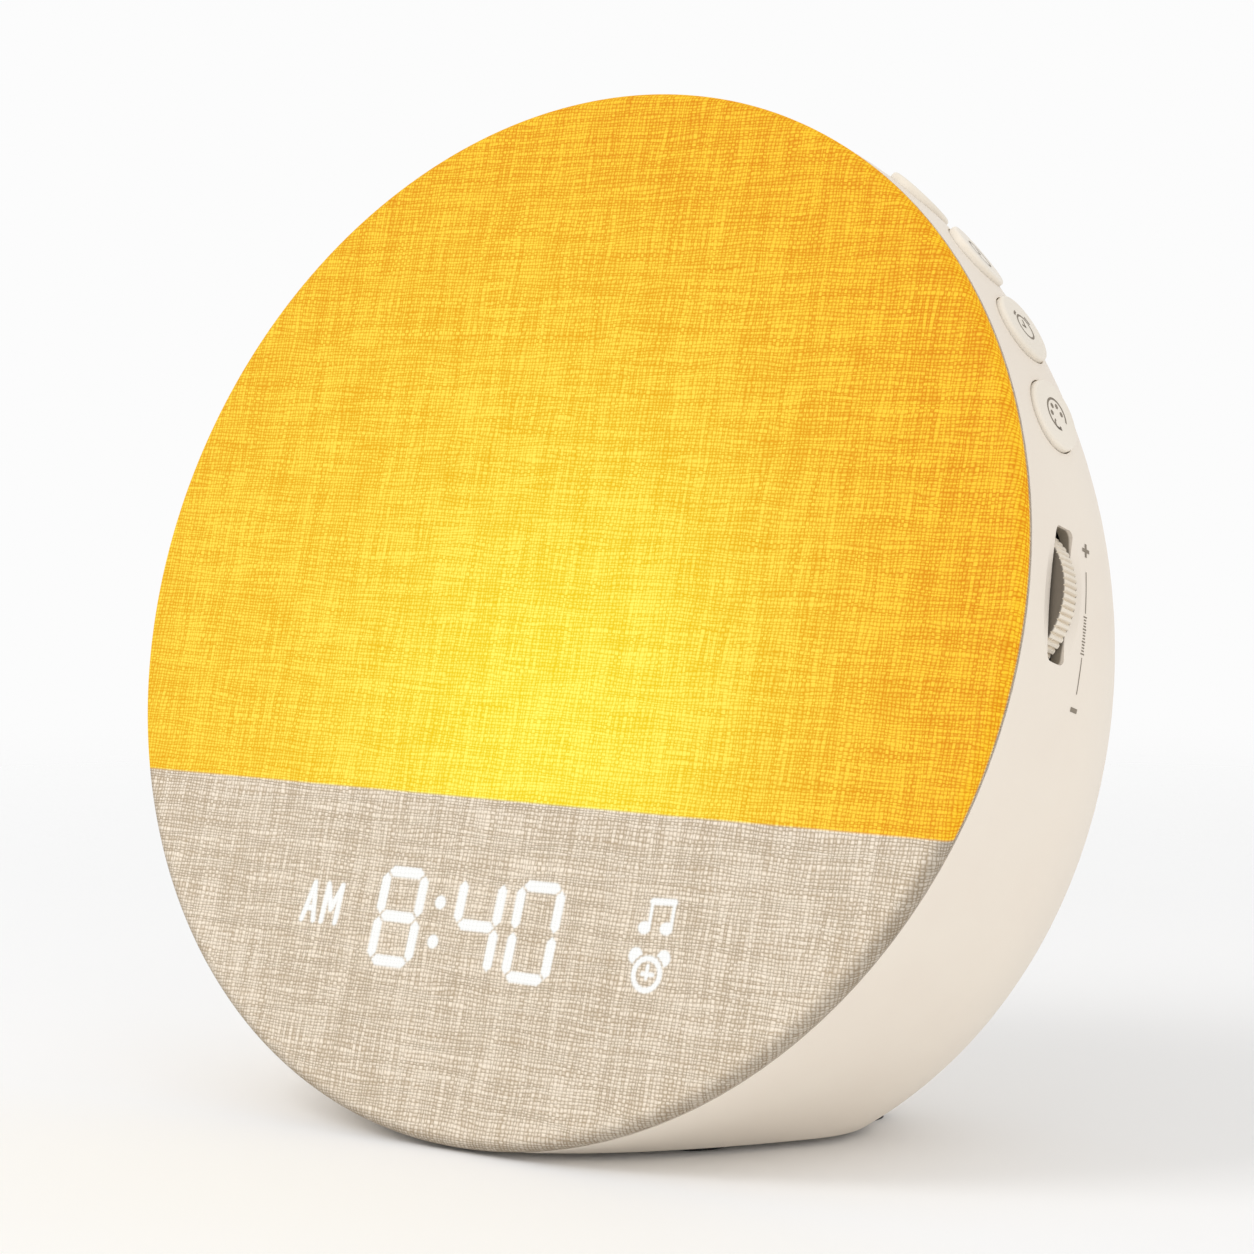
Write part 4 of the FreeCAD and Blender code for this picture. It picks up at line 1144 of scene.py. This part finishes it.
    def light(self, x: float, y: float) -> float:
        """How brightly a place on the face is lit.

        Args:
            x: The place across.
            y: The place up.

        Returns:
            The light, from 0 to 1.
        """
        up = y - self.middle
        outside = [self.digit(x - across, up, segments) for across, segments in self.digits]
        outside += [math.hypot(x - across, up - rise) - self.dot_radius for across, rise in self.colon]
        for sign, (across, rise) in (
            (self.morning_mark, self.mark_place), (self.note, self.note_place), (self.bell, self.bell_place),
        ):
            outside.append(sign(x - across, up - rise))
        nearest = min(outside)
        sharp = max(0.0, min(1.0, 0.5 - nearest / (2 * self.blur)))
        halo = self.halo * math.exp(-max(nearest, 0.0) / self.halo_reach)
        return min(1.0, sharp * sharp * (3 - 2 * sharp) * 0.95 + halo)

    def build(self) -> bpy.types.Object:
        """Makes the fine patch that carries the light of the signs.

        Returns:
            The patch.
        """
        columns = round((self.right - self.left) / self.cell)
        rows = round((self.high - self.low) / self.cell)
        spots = [
            (self.left + i * self.cell, self.low + j * self.cell)
            for j in range(rows + 1) for i in range(columns + 1)
        ]
        lights = [self.light(x, y) for x, y in spots]
        faces = []
        for j in range(rows):
            for i in range(columns):
                corner = j * (columns + 1) + i
                cell = (corner, corner + 1, corner + columns + 2, corner + columns + 1)
                if max(lights[index] for index in cell) > self.least_light:
                    faces.append(cell)
        used = sorted({index for cell in faces for index in cell})
        renumbered = {old: new for new, old in enumerate(used)}
        points = [DRUM.face(spots[old][0] * MM, spots[old][1] * MM, -self.lift * MM) for old in used]
        mesh = bpy.data.meshes.new("display_glow")
        mesh.from_pydata(points, [], [[renumbered[index] for index in cell] for cell in faces])
        layer = mesh.uv_layers.new(name="weave")
        for loop in mesh.loops:
            layer.data[loop.index].uv = spots[used[loop.vertex_index]]
        bright = mesh.attributes.new("lit", "FLOAT", "POINT")
        bright.data.foreach_set("value", [lights[old] for old in used])
        glow = new_object("display_glow", mesh, self.finishes[Finish.SIGNS])
        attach(glow, "clock")
        return glow


@dataclass
class VolumeScale:
    """The print beside the thumbwheel: plus, minus, two lines and a row of ticks.

    A place is an angle in degrees round the drum and a depth behind the face in millimetres. A length runs
    round the drum, a width along its axis, and both are in millimetres. A share runs from 0 at the plus to 1
    at the minus.
    """

    finishes: Finishes
    plus: Spot = (11.2, 20.2)
    plus_arm: Spot = (2.2, 0.6)
    minus: Spot = (-4.9, 21.8)
    minus_size: Spot = (0.75, 2.0)
    top: Spot = (9.0, 20.3)
    low_angle: float = -3.3
    drift: float = 1.3
    upper_line: Spot = (0.0, 0.34)
    tick_row: Spot = (0.37, 0.67)
    lower_line: Spot = (0.7, 1.0)
    line_width: float = 0.24
    ticks: int = 13
    tick_size: Spot = (0.22, 0.75)
    every: float = 4.0
    longer: float = 0.45
    lift: float = 0.03

    def bar(self, shape: bmesh.types.BMesh, start: Spot, end: Spot, wide: float) -> None:
        """Adds one printed bar on the drum's side.

        Args:
            shape: The mesh being built.
            start: The place of its first end.
            end: The place of its other end.
            wide: Its width.
        """
        steps = max(1, round(abs(end[0] - start[0]) * 2))
        rows = []
        for index in range(steps + 1):
            share = index / steps
            angle, depth = (low + (high - low) * share for low, high in zip(start, end))
            sides = [DRUM.side(angle, (depth + half) * MM, self.lift * MM) for half in (-wide / 2, wide / 2)]
            rows.append([shape.verts.new(side) for side in sides])
        for low, high in zip(rows, rows[1:]):
            shape.faces.new([low[0], low[1], high[1], high[0]])

    def upright(self, shape: bmesh.types.BMesh, middle: Spot, long: float, wide: float) -> None:
        """Adds one bar by the place of its middle, its length and its width."""
        half = math.degrees(long / 2 * MM / DRUM.radius)
        self.bar(shape, (middle[0] - half, middle[1]), (middle[0] + half, middle[1]), wide)

    def on_line(self, share: float) -> Spot:
        """The place at a share of the scale's line."""
        angle, depth = self.top
        return angle + (self.low_angle - angle) * share, depth + self.drift * share

    def tick_points(self, tree: GeometryTree, index: Maths) -> bpy.types.Node:
        """Adds the points of the ticks, on an arc that drifts along the drum's axis.

        Args:
            tree: The tree being built.
            index: The number of each tick.

        Returns:
            The node that gives the points.
        """
        radius, start, sweep = (tree.size(name) for name in ("radius", "start", "sweep"))
        arc = tree.node("GeometryNodeCurveArc", sockets={
            "Radius": radius, "Start Angle": start, "Sweep Angle": sweep,
        })
        points = tree.node("GeometryNodeCurveToPoints", sockets={
            "Curve": arc.outputs[0], "Count": self.ticks,
        })
        return tree.node("GeometryNodeSetPosition", sockets={
            "Geometry": points.outputs[0], "Offset": tree.vector(0.0, 0.0, index * tree.size("drift") * -1.0),
        })

    def graduation(self) -> bpy.types.Mesh:
        """Makes the row of ticks with Geometry Nodes: an arc round the drum, with every fourth tick longer.

        Returns:
            The mesh of the ticks.
        """
        (start, depth), (end, last) = (self.on_line(share) for share in self.tick_row)
        thick, long = self.tick_size
        tree = GeometryTree(
            "scale_ticks", radius=DRUM.radius + self.lift * MM, start=math.radians(start),
            sweep=math.radians(end - start), thick=thick * MM, long=long * MM,
            drift=(last - depth) * MM / (self.ticks - 1),
        )
        index = tree.value(tree.node("GeometryNodeInputIndex").outputs[0])
        tick = tree.node("GeometryNodeMeshCube", sockets={
            "Size": tree.vector(0.01 * MM, tree.size("thick"), tree.size("long")),
        })
        position = tree.node("GeometryNodeInputPosition").outputs[0]
        x, y, _ = tree.split(position)
        longer = ((index % self.every) < 0.5) * self.longer + 1.0
        placed = tree.node("GeometryNodeInstanceOnPoints", sockets={
            "Points": self.tick_points(tree, index).outputs[0], "Instance": tick.outputs[0],
            "Rotation": tree.vector(0.0, 0.0, y.angle(x)), "Scale": tree.vector(1.0, 1.0, longer),
        })
        turned = tree.node("GeometryNodeTransform", sockets={
            "Geometry": placed.outputs[0], "Rotation": (math.pi / 2 - DRUM.tilt, 0.0, 0.0),
            "Translation": tuple(DRUM.face(0, 0, depth * MM)),
        })
        return tree.mesh(turned.outputs[0], self.finishes[Finish.PRINT])

    def build(self) -> bpy.types.Object:
        """Makes the whole print as one thin piece.

        Returns:
            The print.
        """
        shape = bmesh.new()
        self.upright(shape, self.plus, *self.plus_arm)
        self.upright(shape, self.plus, *self.plus_arm[::-1])
        self.upright(shape, self.minus, *self.minus_size)
        for start, end in (self.upper_line, self.lower_line):
            self.bar(shape, self.on_line(start), self.on_line(end), self.line_width)
        shape.from_mesh(self.graduation())
        scale = new_object("volume_scale", as_mesh("volume_scale", shape), self.finishes[Finish.PRINT])
        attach(scale, "clock")
        return scale


@dataclass
class RearScrews:
    """The cross-recessed pan-head screws of the rear cover, in place of the plain ones.

    The sizes are in millimetres, and the turn of the crosses is in radians.
    """

    finishes: Finishes
    head_radius: float = 2.3
    head_height: float = 1.2
    crown: float = 0.35
    stem_share: float = 0.52
    slot_long: float = 2.9
    slot_wide: float = 0.62
    slot_deep: float = 0.9
    turn: float = 0.5
    sides: int = 40

    def disc(
        self, tree: GeometryTree, top: Maths, bottom: Maths, depth: Maths, drop: Maths,
    ) -> bpy.types.NodeSocket:
        """Adds a round disc that stands upright below the head's top.

        Args:
            tree: The tree being built.
            top: The radius of its top.
            bottom: The radius of its bottom.
            depth: Its height.
            drop: How far its bottom lies below the head's top.

        Returns:
            The disc.
        """
        cone = tree.node("GeometryNodeMeshCone", sockets={
            "Vertices": self.sides, "Radius Top": top, "Radius Bottom": bottom, "Depth": depth,
        })
        return tree.node("GeometryNodeTransform", sockets={
            "Geometry": cone.outputs[0], "Translation": tree.vector(0.0, 0.0, drop * -1.0),
        }).outputs[0]

    def screw(self, tree: GeometryTree) -> bpy.types.NodeSocket:
        """Adds one screw, upright, with its head's top at zero.

        Args:
            tree: The tree being built.

        Returns:
            The screw.
        """
        radius, height, crown, shank = (tree.size(name) for name in ("radius", "height", "crown", "shank"))
        long, wide, deep = (tree.size(name) for name in ("slot_long", "slot_wide", "slot_deep"))
        stem = radius * self.stem_share
        head = tree.node("GeometryNodeMeshBoolean", {"operation": "UNION"})
        for disc in (
            self.disc(tree, radius, radius, height - crown, height),
            self.disc(tree, radius - crown, radius, crown, crown),
            self.disc(tree, stem, stem, shank, height + shank),
        ):
            tree.feed(head.inputs["Mesh 2"], disc)
        cut = tree.node("GeometryNodeMeshBoolean", {"operation": "DIFFERENCE"}, {"Mesh 1": head.outputs[0]})
        for x, y in ((long, wide), (wide, long)):
            slot = tree.node("GeometryNodeMeshCube", sockets={"Size": tree.vector(x, y, deep * 2.0)})
            tree.feed(cut.inputs["Mesh 2"], slot.outputs[0])
        return cut.outputs[0]

    def build(self) -> bpy.types.Object:
        """Makes the four screws with Geometry Nodes: one screw, cut by a cross, on a square of points.

        Returns:
            The screws.
        """
        low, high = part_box("rear_cover_screws")
        radius, height = self.head_radius * MM, self.head_height * MM
        tree = GeometryTree(
            "rear_screw_tree", radius=radius, crown=self.crown * MM, height=height,
            shank=(high.y - low.y) - height, across=high.x - low.x - 2 * radius,
            upright=high.z - low.z - 2 * radius,
            slot_long=self.slot_long * MM, slot_wide=self.slot_wide * MM, slot_deep=self.slot_deep * MM,
        )
        corners = tree.node("GeometryNodeMeshGrid", sockets={
            "Size X": tree.size("across"), "Size Y": tree.size("upright"), "Vertices X": 2, "Vertices Y": 2,
        })
        spread = tree.node("GeometryNodeInstanceOnPoints", sockets={
            "Points": corners.outputs[0], "Instance": self.screw(tree), "Rotation": (0.0, 0.0, self.turn),
        })
        turned = tree.node("GeometryNodeTransform", sockets={
            "Geometry": spread.outputs[0], "Rotation": (-math.pi / 2, 0.0, 0.0),
            "Translation": ((low.x + high.x) / 2, high.y, (low.z + high.z) / 2),
        })
        mesh = tree.mesh(turned.outputs[0], self.finishes[Finish.STEEL])
        screws = new_object("rear_screws", mesh, self.finishes[Finish.STEEL], False)
        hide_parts("rear_cover_screws")
        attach(screws, "clock")
        return screws


@dataclass(frozen=True)
class CapPlane:
    """The top of one cap: its middle, and the directions outwards, forwards and up round the drum."""

    middle: Vector
    outward: Vector
    forward: Vector
    up: Vector

    def point(self, x: float, y: float, lift: float) -> Vector:
        """A point by its place forwards and up and its height over the cap, in millimetres."""
        return self.middle + (self.forward * x + self.up * y + self.outward * lift) * MM


# The two points of a mark's line where it is crossed once.
Edge = tuple[Spot, Spot]


@dataclass(frozen=True)
class Arc:
    """An engraved ring or arc, in millimetres and degrees from forwards."""

    centre: Spot
    radius: float
    width: float = 0.42
    start: float = 0.0
    end: float = 360.0
    least_steps: int = 10
    step_length: float = 18.0

    def edges(self) -> list[Edge]:
        """The inner and outer points along the arc.

        Returns:
            A pair of points at each step.
        """
        sweep = self.end - self.start
        steps = max(self.least_steps, round(self.radius * sweep / self.step_length))
        pairs = []
        for index in range(steps + 1):
            turn = math.radians(self.start + sweep * index / steps)
            pairs.append(tuple(
                (self.centre[0] + reach * math.cos(turn), self.centre[1] + reach * math.sin(turn))
                for reach in (self.radius - self.width / 2, self.radius + self.width / 2)
            ))
        return pairs


@dataclass(frozen=True)
class Stroke:
    """An engraved straight line, in millimetres."""

    start: Spot
    end: Spot
    width: float = 0.42

    def edges(self) -> list[Edge]:
        """The left and right points at both ends.

        Returns:
            A pair of points at each end.
        """
        run = Vector(self.end) - Vector(self.start)
        aside = Vector((run.y, -run.x)).normalized() * self.width / 2
        ends = (Vector(self.start), Vector(self.end))
        return [tuple(tuple(end + aside * side) for side in (-1, 1)) for end in ends]


CAP_SIGNS: dict[str, list[Arc | Stroke]] = {
    "palette_button": [
        Arc((0, 0), 2.7, start=-100, end=200), Arc((0.5, -1.9), 0.8, start=-160, end=60),
        *(Arc((1.6 * math.cos(turn), 1.6 * math.sin(turn)), 0.24, 0.48) for turn in (-0.1, 0.9, 1.9, 2.9)),
    ],
    "alarm_button": [
        Arc((0, 0), 2.2), Arc((0, 0), 2.95, 0.5, 30, 60), Arc((0, 0), 2.95, 0.5, 120, 150),
        Stroke((0, -0.2), (0, 1.4)), Stroke((-0.2, 0), (1.1, 0)),
    ],
    "time_button": [Arc((0, 0), 2.6), Stroke((0, -0.2), (0, 1.6)), Stroke((-0.2, 0), (1.2, -0.6))],
    "sound_button": [
        Arc((-1.2, 0), 0.35, 0.7), *(Arc((-1.2, 0), radius, start=-50, end=50) for radius in (1.8, 3.0)),
    ],
}


@dataclass
class CapMarks:
    """The engraved signs on the four caps, each riding on its own cap, with their lift in millimetres."""

    finishes: Finishes
    joints: list[dict[str, Given]]
    lift: float = 0.02
    flatness: float = 0.02

    def plane(self, name: str) -> CapPlane:
        """The plane of a cap's top, from its joint's axis and its own mesh.

        Args:
            name: The cap's name.

        Returns:
            The plane.
        """
        joint = next(joint for joint in self.joints if joint["child"] == name)
        outward = -Vector(joint["axis"]).normalized()
        corners = [vertex.co for vertex in bpy.data.objects[name].data.vertices]
        reach = max(corner.dot(outward) for corner in corners)
        top = [corner for corner in corners if corner.dot(outward) > reach - self.flatness * MM]
        forward = -(DRUM.back - outward * DRUM.back.dot(outward)).normalized()
        return CapPlane(sum(top, Vector()) / len(top), outward, forward, forward.cross(outward).normalized())

    def ribbon(self, shape: bmesh.types.BMesh, plane: CapPlane, mark: Arc | Stroke) -> None:
        """Adds the flat line of one mark to a cap, between its two edges.

        Args:
            shape: The mesh being built.
            plane: The top of the cap.
            mark: The mark.
        """
        rows = [[shape.verts.new(plane.point(x, y, self.lift)) for x, y in pair] for pair in mark.edges()]
        for low, high in zip(rows, rows[1:]):
            shape.faces.new([low[0], high[0], high[1], low[1]])

    def build(self) -> None:
        """Makes the signs of the four caps."""
        for name, lines in CAP_SIGNS.items():
            plane = self.plane(name)
            shape = bmesh.new()
            for line in lines:
                self.ribbon(shape, plane, line)
            mark = new_object(name + "_mark", as_mesh(name + "_mark", shape), self.finishes[Finish.ENGRAVING])
            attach(mark, name)


def look(thing: bpy.types.Object, way: Vector) -> None:
    """Adds a camera or a lamp to the scene and turns it.

    Args:
        thing: The camera or the lamp.
        way: The direction in which it looks.
    """
    thing.rotation_mode = "QUATERNION"
    thing.rotation_quaternion = way.to_track_quat("-Z", "Y")
    bpy.context.scene.collection.objects.link(thing)


@dataclass
class PhotoCamera:
    """The camera at the photograph's angle, set by where it stands round the middle of the face.

    Its distance is in radii of the drum. Its focal length and its shifts are in pixels of the photograph.
    """

    azimuth: float = math.radians(37.18)
    elevation: float = math.radians(4.11)
    distance: float = 6.820
    focal: float = 3700.0
    frame: float = 1254.0
    shift_right: float = -80.0
    shift_down: float = -20.6
    sensor: float = 36.0

    def build(self) -> bpy.types.Object:
        """Makes the camera and makes it the scene's own.

        Returns:
            The camera.
        """
        sine, cosine = math.sin(self.azimuth), math.cos(self.azimuth)
        rise, level = math.sin(self.elevation), math.cos(self.elevation)
        forward = Vector((-sine * level, cosine * level, -rise))
        right = Vector((cosine, sine, 0))
        up = right.cross(forward)
        offset = -forward + (up * self.shift_down - right * self.shift_right) / self.focal
        data = bpy.data.cameras.new("photo_camera")
        data.sensor_width = self.sensor
        data.lens = self.sensor * self.focal / self.frame
        data.clip_start, data.clip_end = 0.01, 20.0
        camera = bpy.data.objects.new("photo_camera", data)
        camera.location = DRUM.centre + offset * self.distance * DRUM.radius
        look(camera, forward)
        bpy.context.scene.camera = camera
        return camera


@dataclass
class Studio:
    """A pale floor, a white surround and two soft lamps, in metres and watts."""

    floor_light: Shade = (249, 249, 249)
    floor_dark: Shade = (246, 246, 246)
    floor_reach: float = 6.0
    fade: Spot = (0.22, 0.75)
    surround_colour: Shade = (252, 252, 252)
    surround: float = 0.86
    key_place: tuple[float, float, float] = (-0.7, -1.1, 1.5)
    key_power: float = 9.0
    fill_place: tuple[float, float, float] = (1.5, -0.9, 0.35)
    fill_power: float = 4.0
    lamp_size: float = 0.9
    aim_height: float = 0.08

    def floor(self) -> None:
        """Makes the floor, which shows as near white and keeps the clock's shadow."""
        shop = Workshop("studio_floor")
        grain = shop.noise(None, 4.0)
        shop.fix(Base_Color=shop.blend(grain, srgb(*self.floor_dark), srgb(*self.floor_light)))
        x, y, _ = shop.place()
        shop.fix(Alpha=1.0 - (x * x + y * y).root().step(*self.fade), Roughness=0.9, Specular_IOR_Level=0.1)
        mesh = bpy.data.meshes.new("studio_floor")
        reach = self.floor_reach
        corners = [(-reach, -reach, 0), (reach, -reach, 0), (reach, reach, 0), (-reach, reach, 0)]
        mesh.from_pydata(corners, [], [(0, 1, 2, 3)])
        new_object("studio_floor", mesh, shop.material, False)

    def world(self) -> None:
        """Makes the surround: white where it is seen, softer where it lights."""
        world = bpy.data.worlds.new("studio_surround")
        bpy.context.scene.world = world
        world.use_nodes = True
        nodes = NodeTree(world.node_tree)
        path = nodes.node("ShaderNodeLightPath")
        rays = ("Is Camera Ray", "Is Glossy Ray", "Is Transmission Ray")
        camera, glossy, through = (nodes.value(path.outputs[name]) for name in rays)
        strength = (camera + glossy + through).step(0.0, 0.5) * (1.0 - self.surround) + self.surround
        background = nodes.node("ShaderNodeBackground", sockets={
            "Color": srgb(*self.surround_colour), "Strength": strength,
        })
        nodes.node("ShaderNodeOutputWorld", sockets={"Surface": background.outputs[0]})

    def lamp(self, name: str, place: tuple[float, float, float], power: float) -> None:
        """Makes one soft square lamp that looks at the clock.

        Args:
            name: The lamp's name.
            place: Where it stands.
            power: Its power.
        """
        data = bpy.data.lights.new(name, "AREA")
        data.size = self.lamp_size
        data.energy = power
        lamp = bpy.data.objects.new(name, data)
        lamp.location = place
        look(lamp, Vector((0, 0, self.aim_height)) - Vector(place))

    def build(self) -> None:
        """Makes the floor, the surround and the lamps."""
        self.floor()
        self.world()
        self.lamp("key_lamp", self.key_place, self.key_power)
        self.lamp("fill_lamp", self.fill_place, self.fill_power)


def main() -> None:
    """Loads the part, dresses it and reports each piece."""
    logging.basicConfig(level=logging.INFO, format="%(name)s: %(message)s")
    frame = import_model()
    bpy.context.scene.view_settings.view_transform = "Standard"
    PhotoCamera().build()
    finishes = Finishes()
    CarriedPieces(finishes).dress(frame["nodes"])
    LinenCover(finishes).build()
    GlowingDisplay(finishes).build()
    VolumeScale(finishes).build()
    RearScrews(finishes).build()
    CapMarks(finishes, frame["joints"]).build()
    Studio().build()


if __name__ == "__main__":
    main()
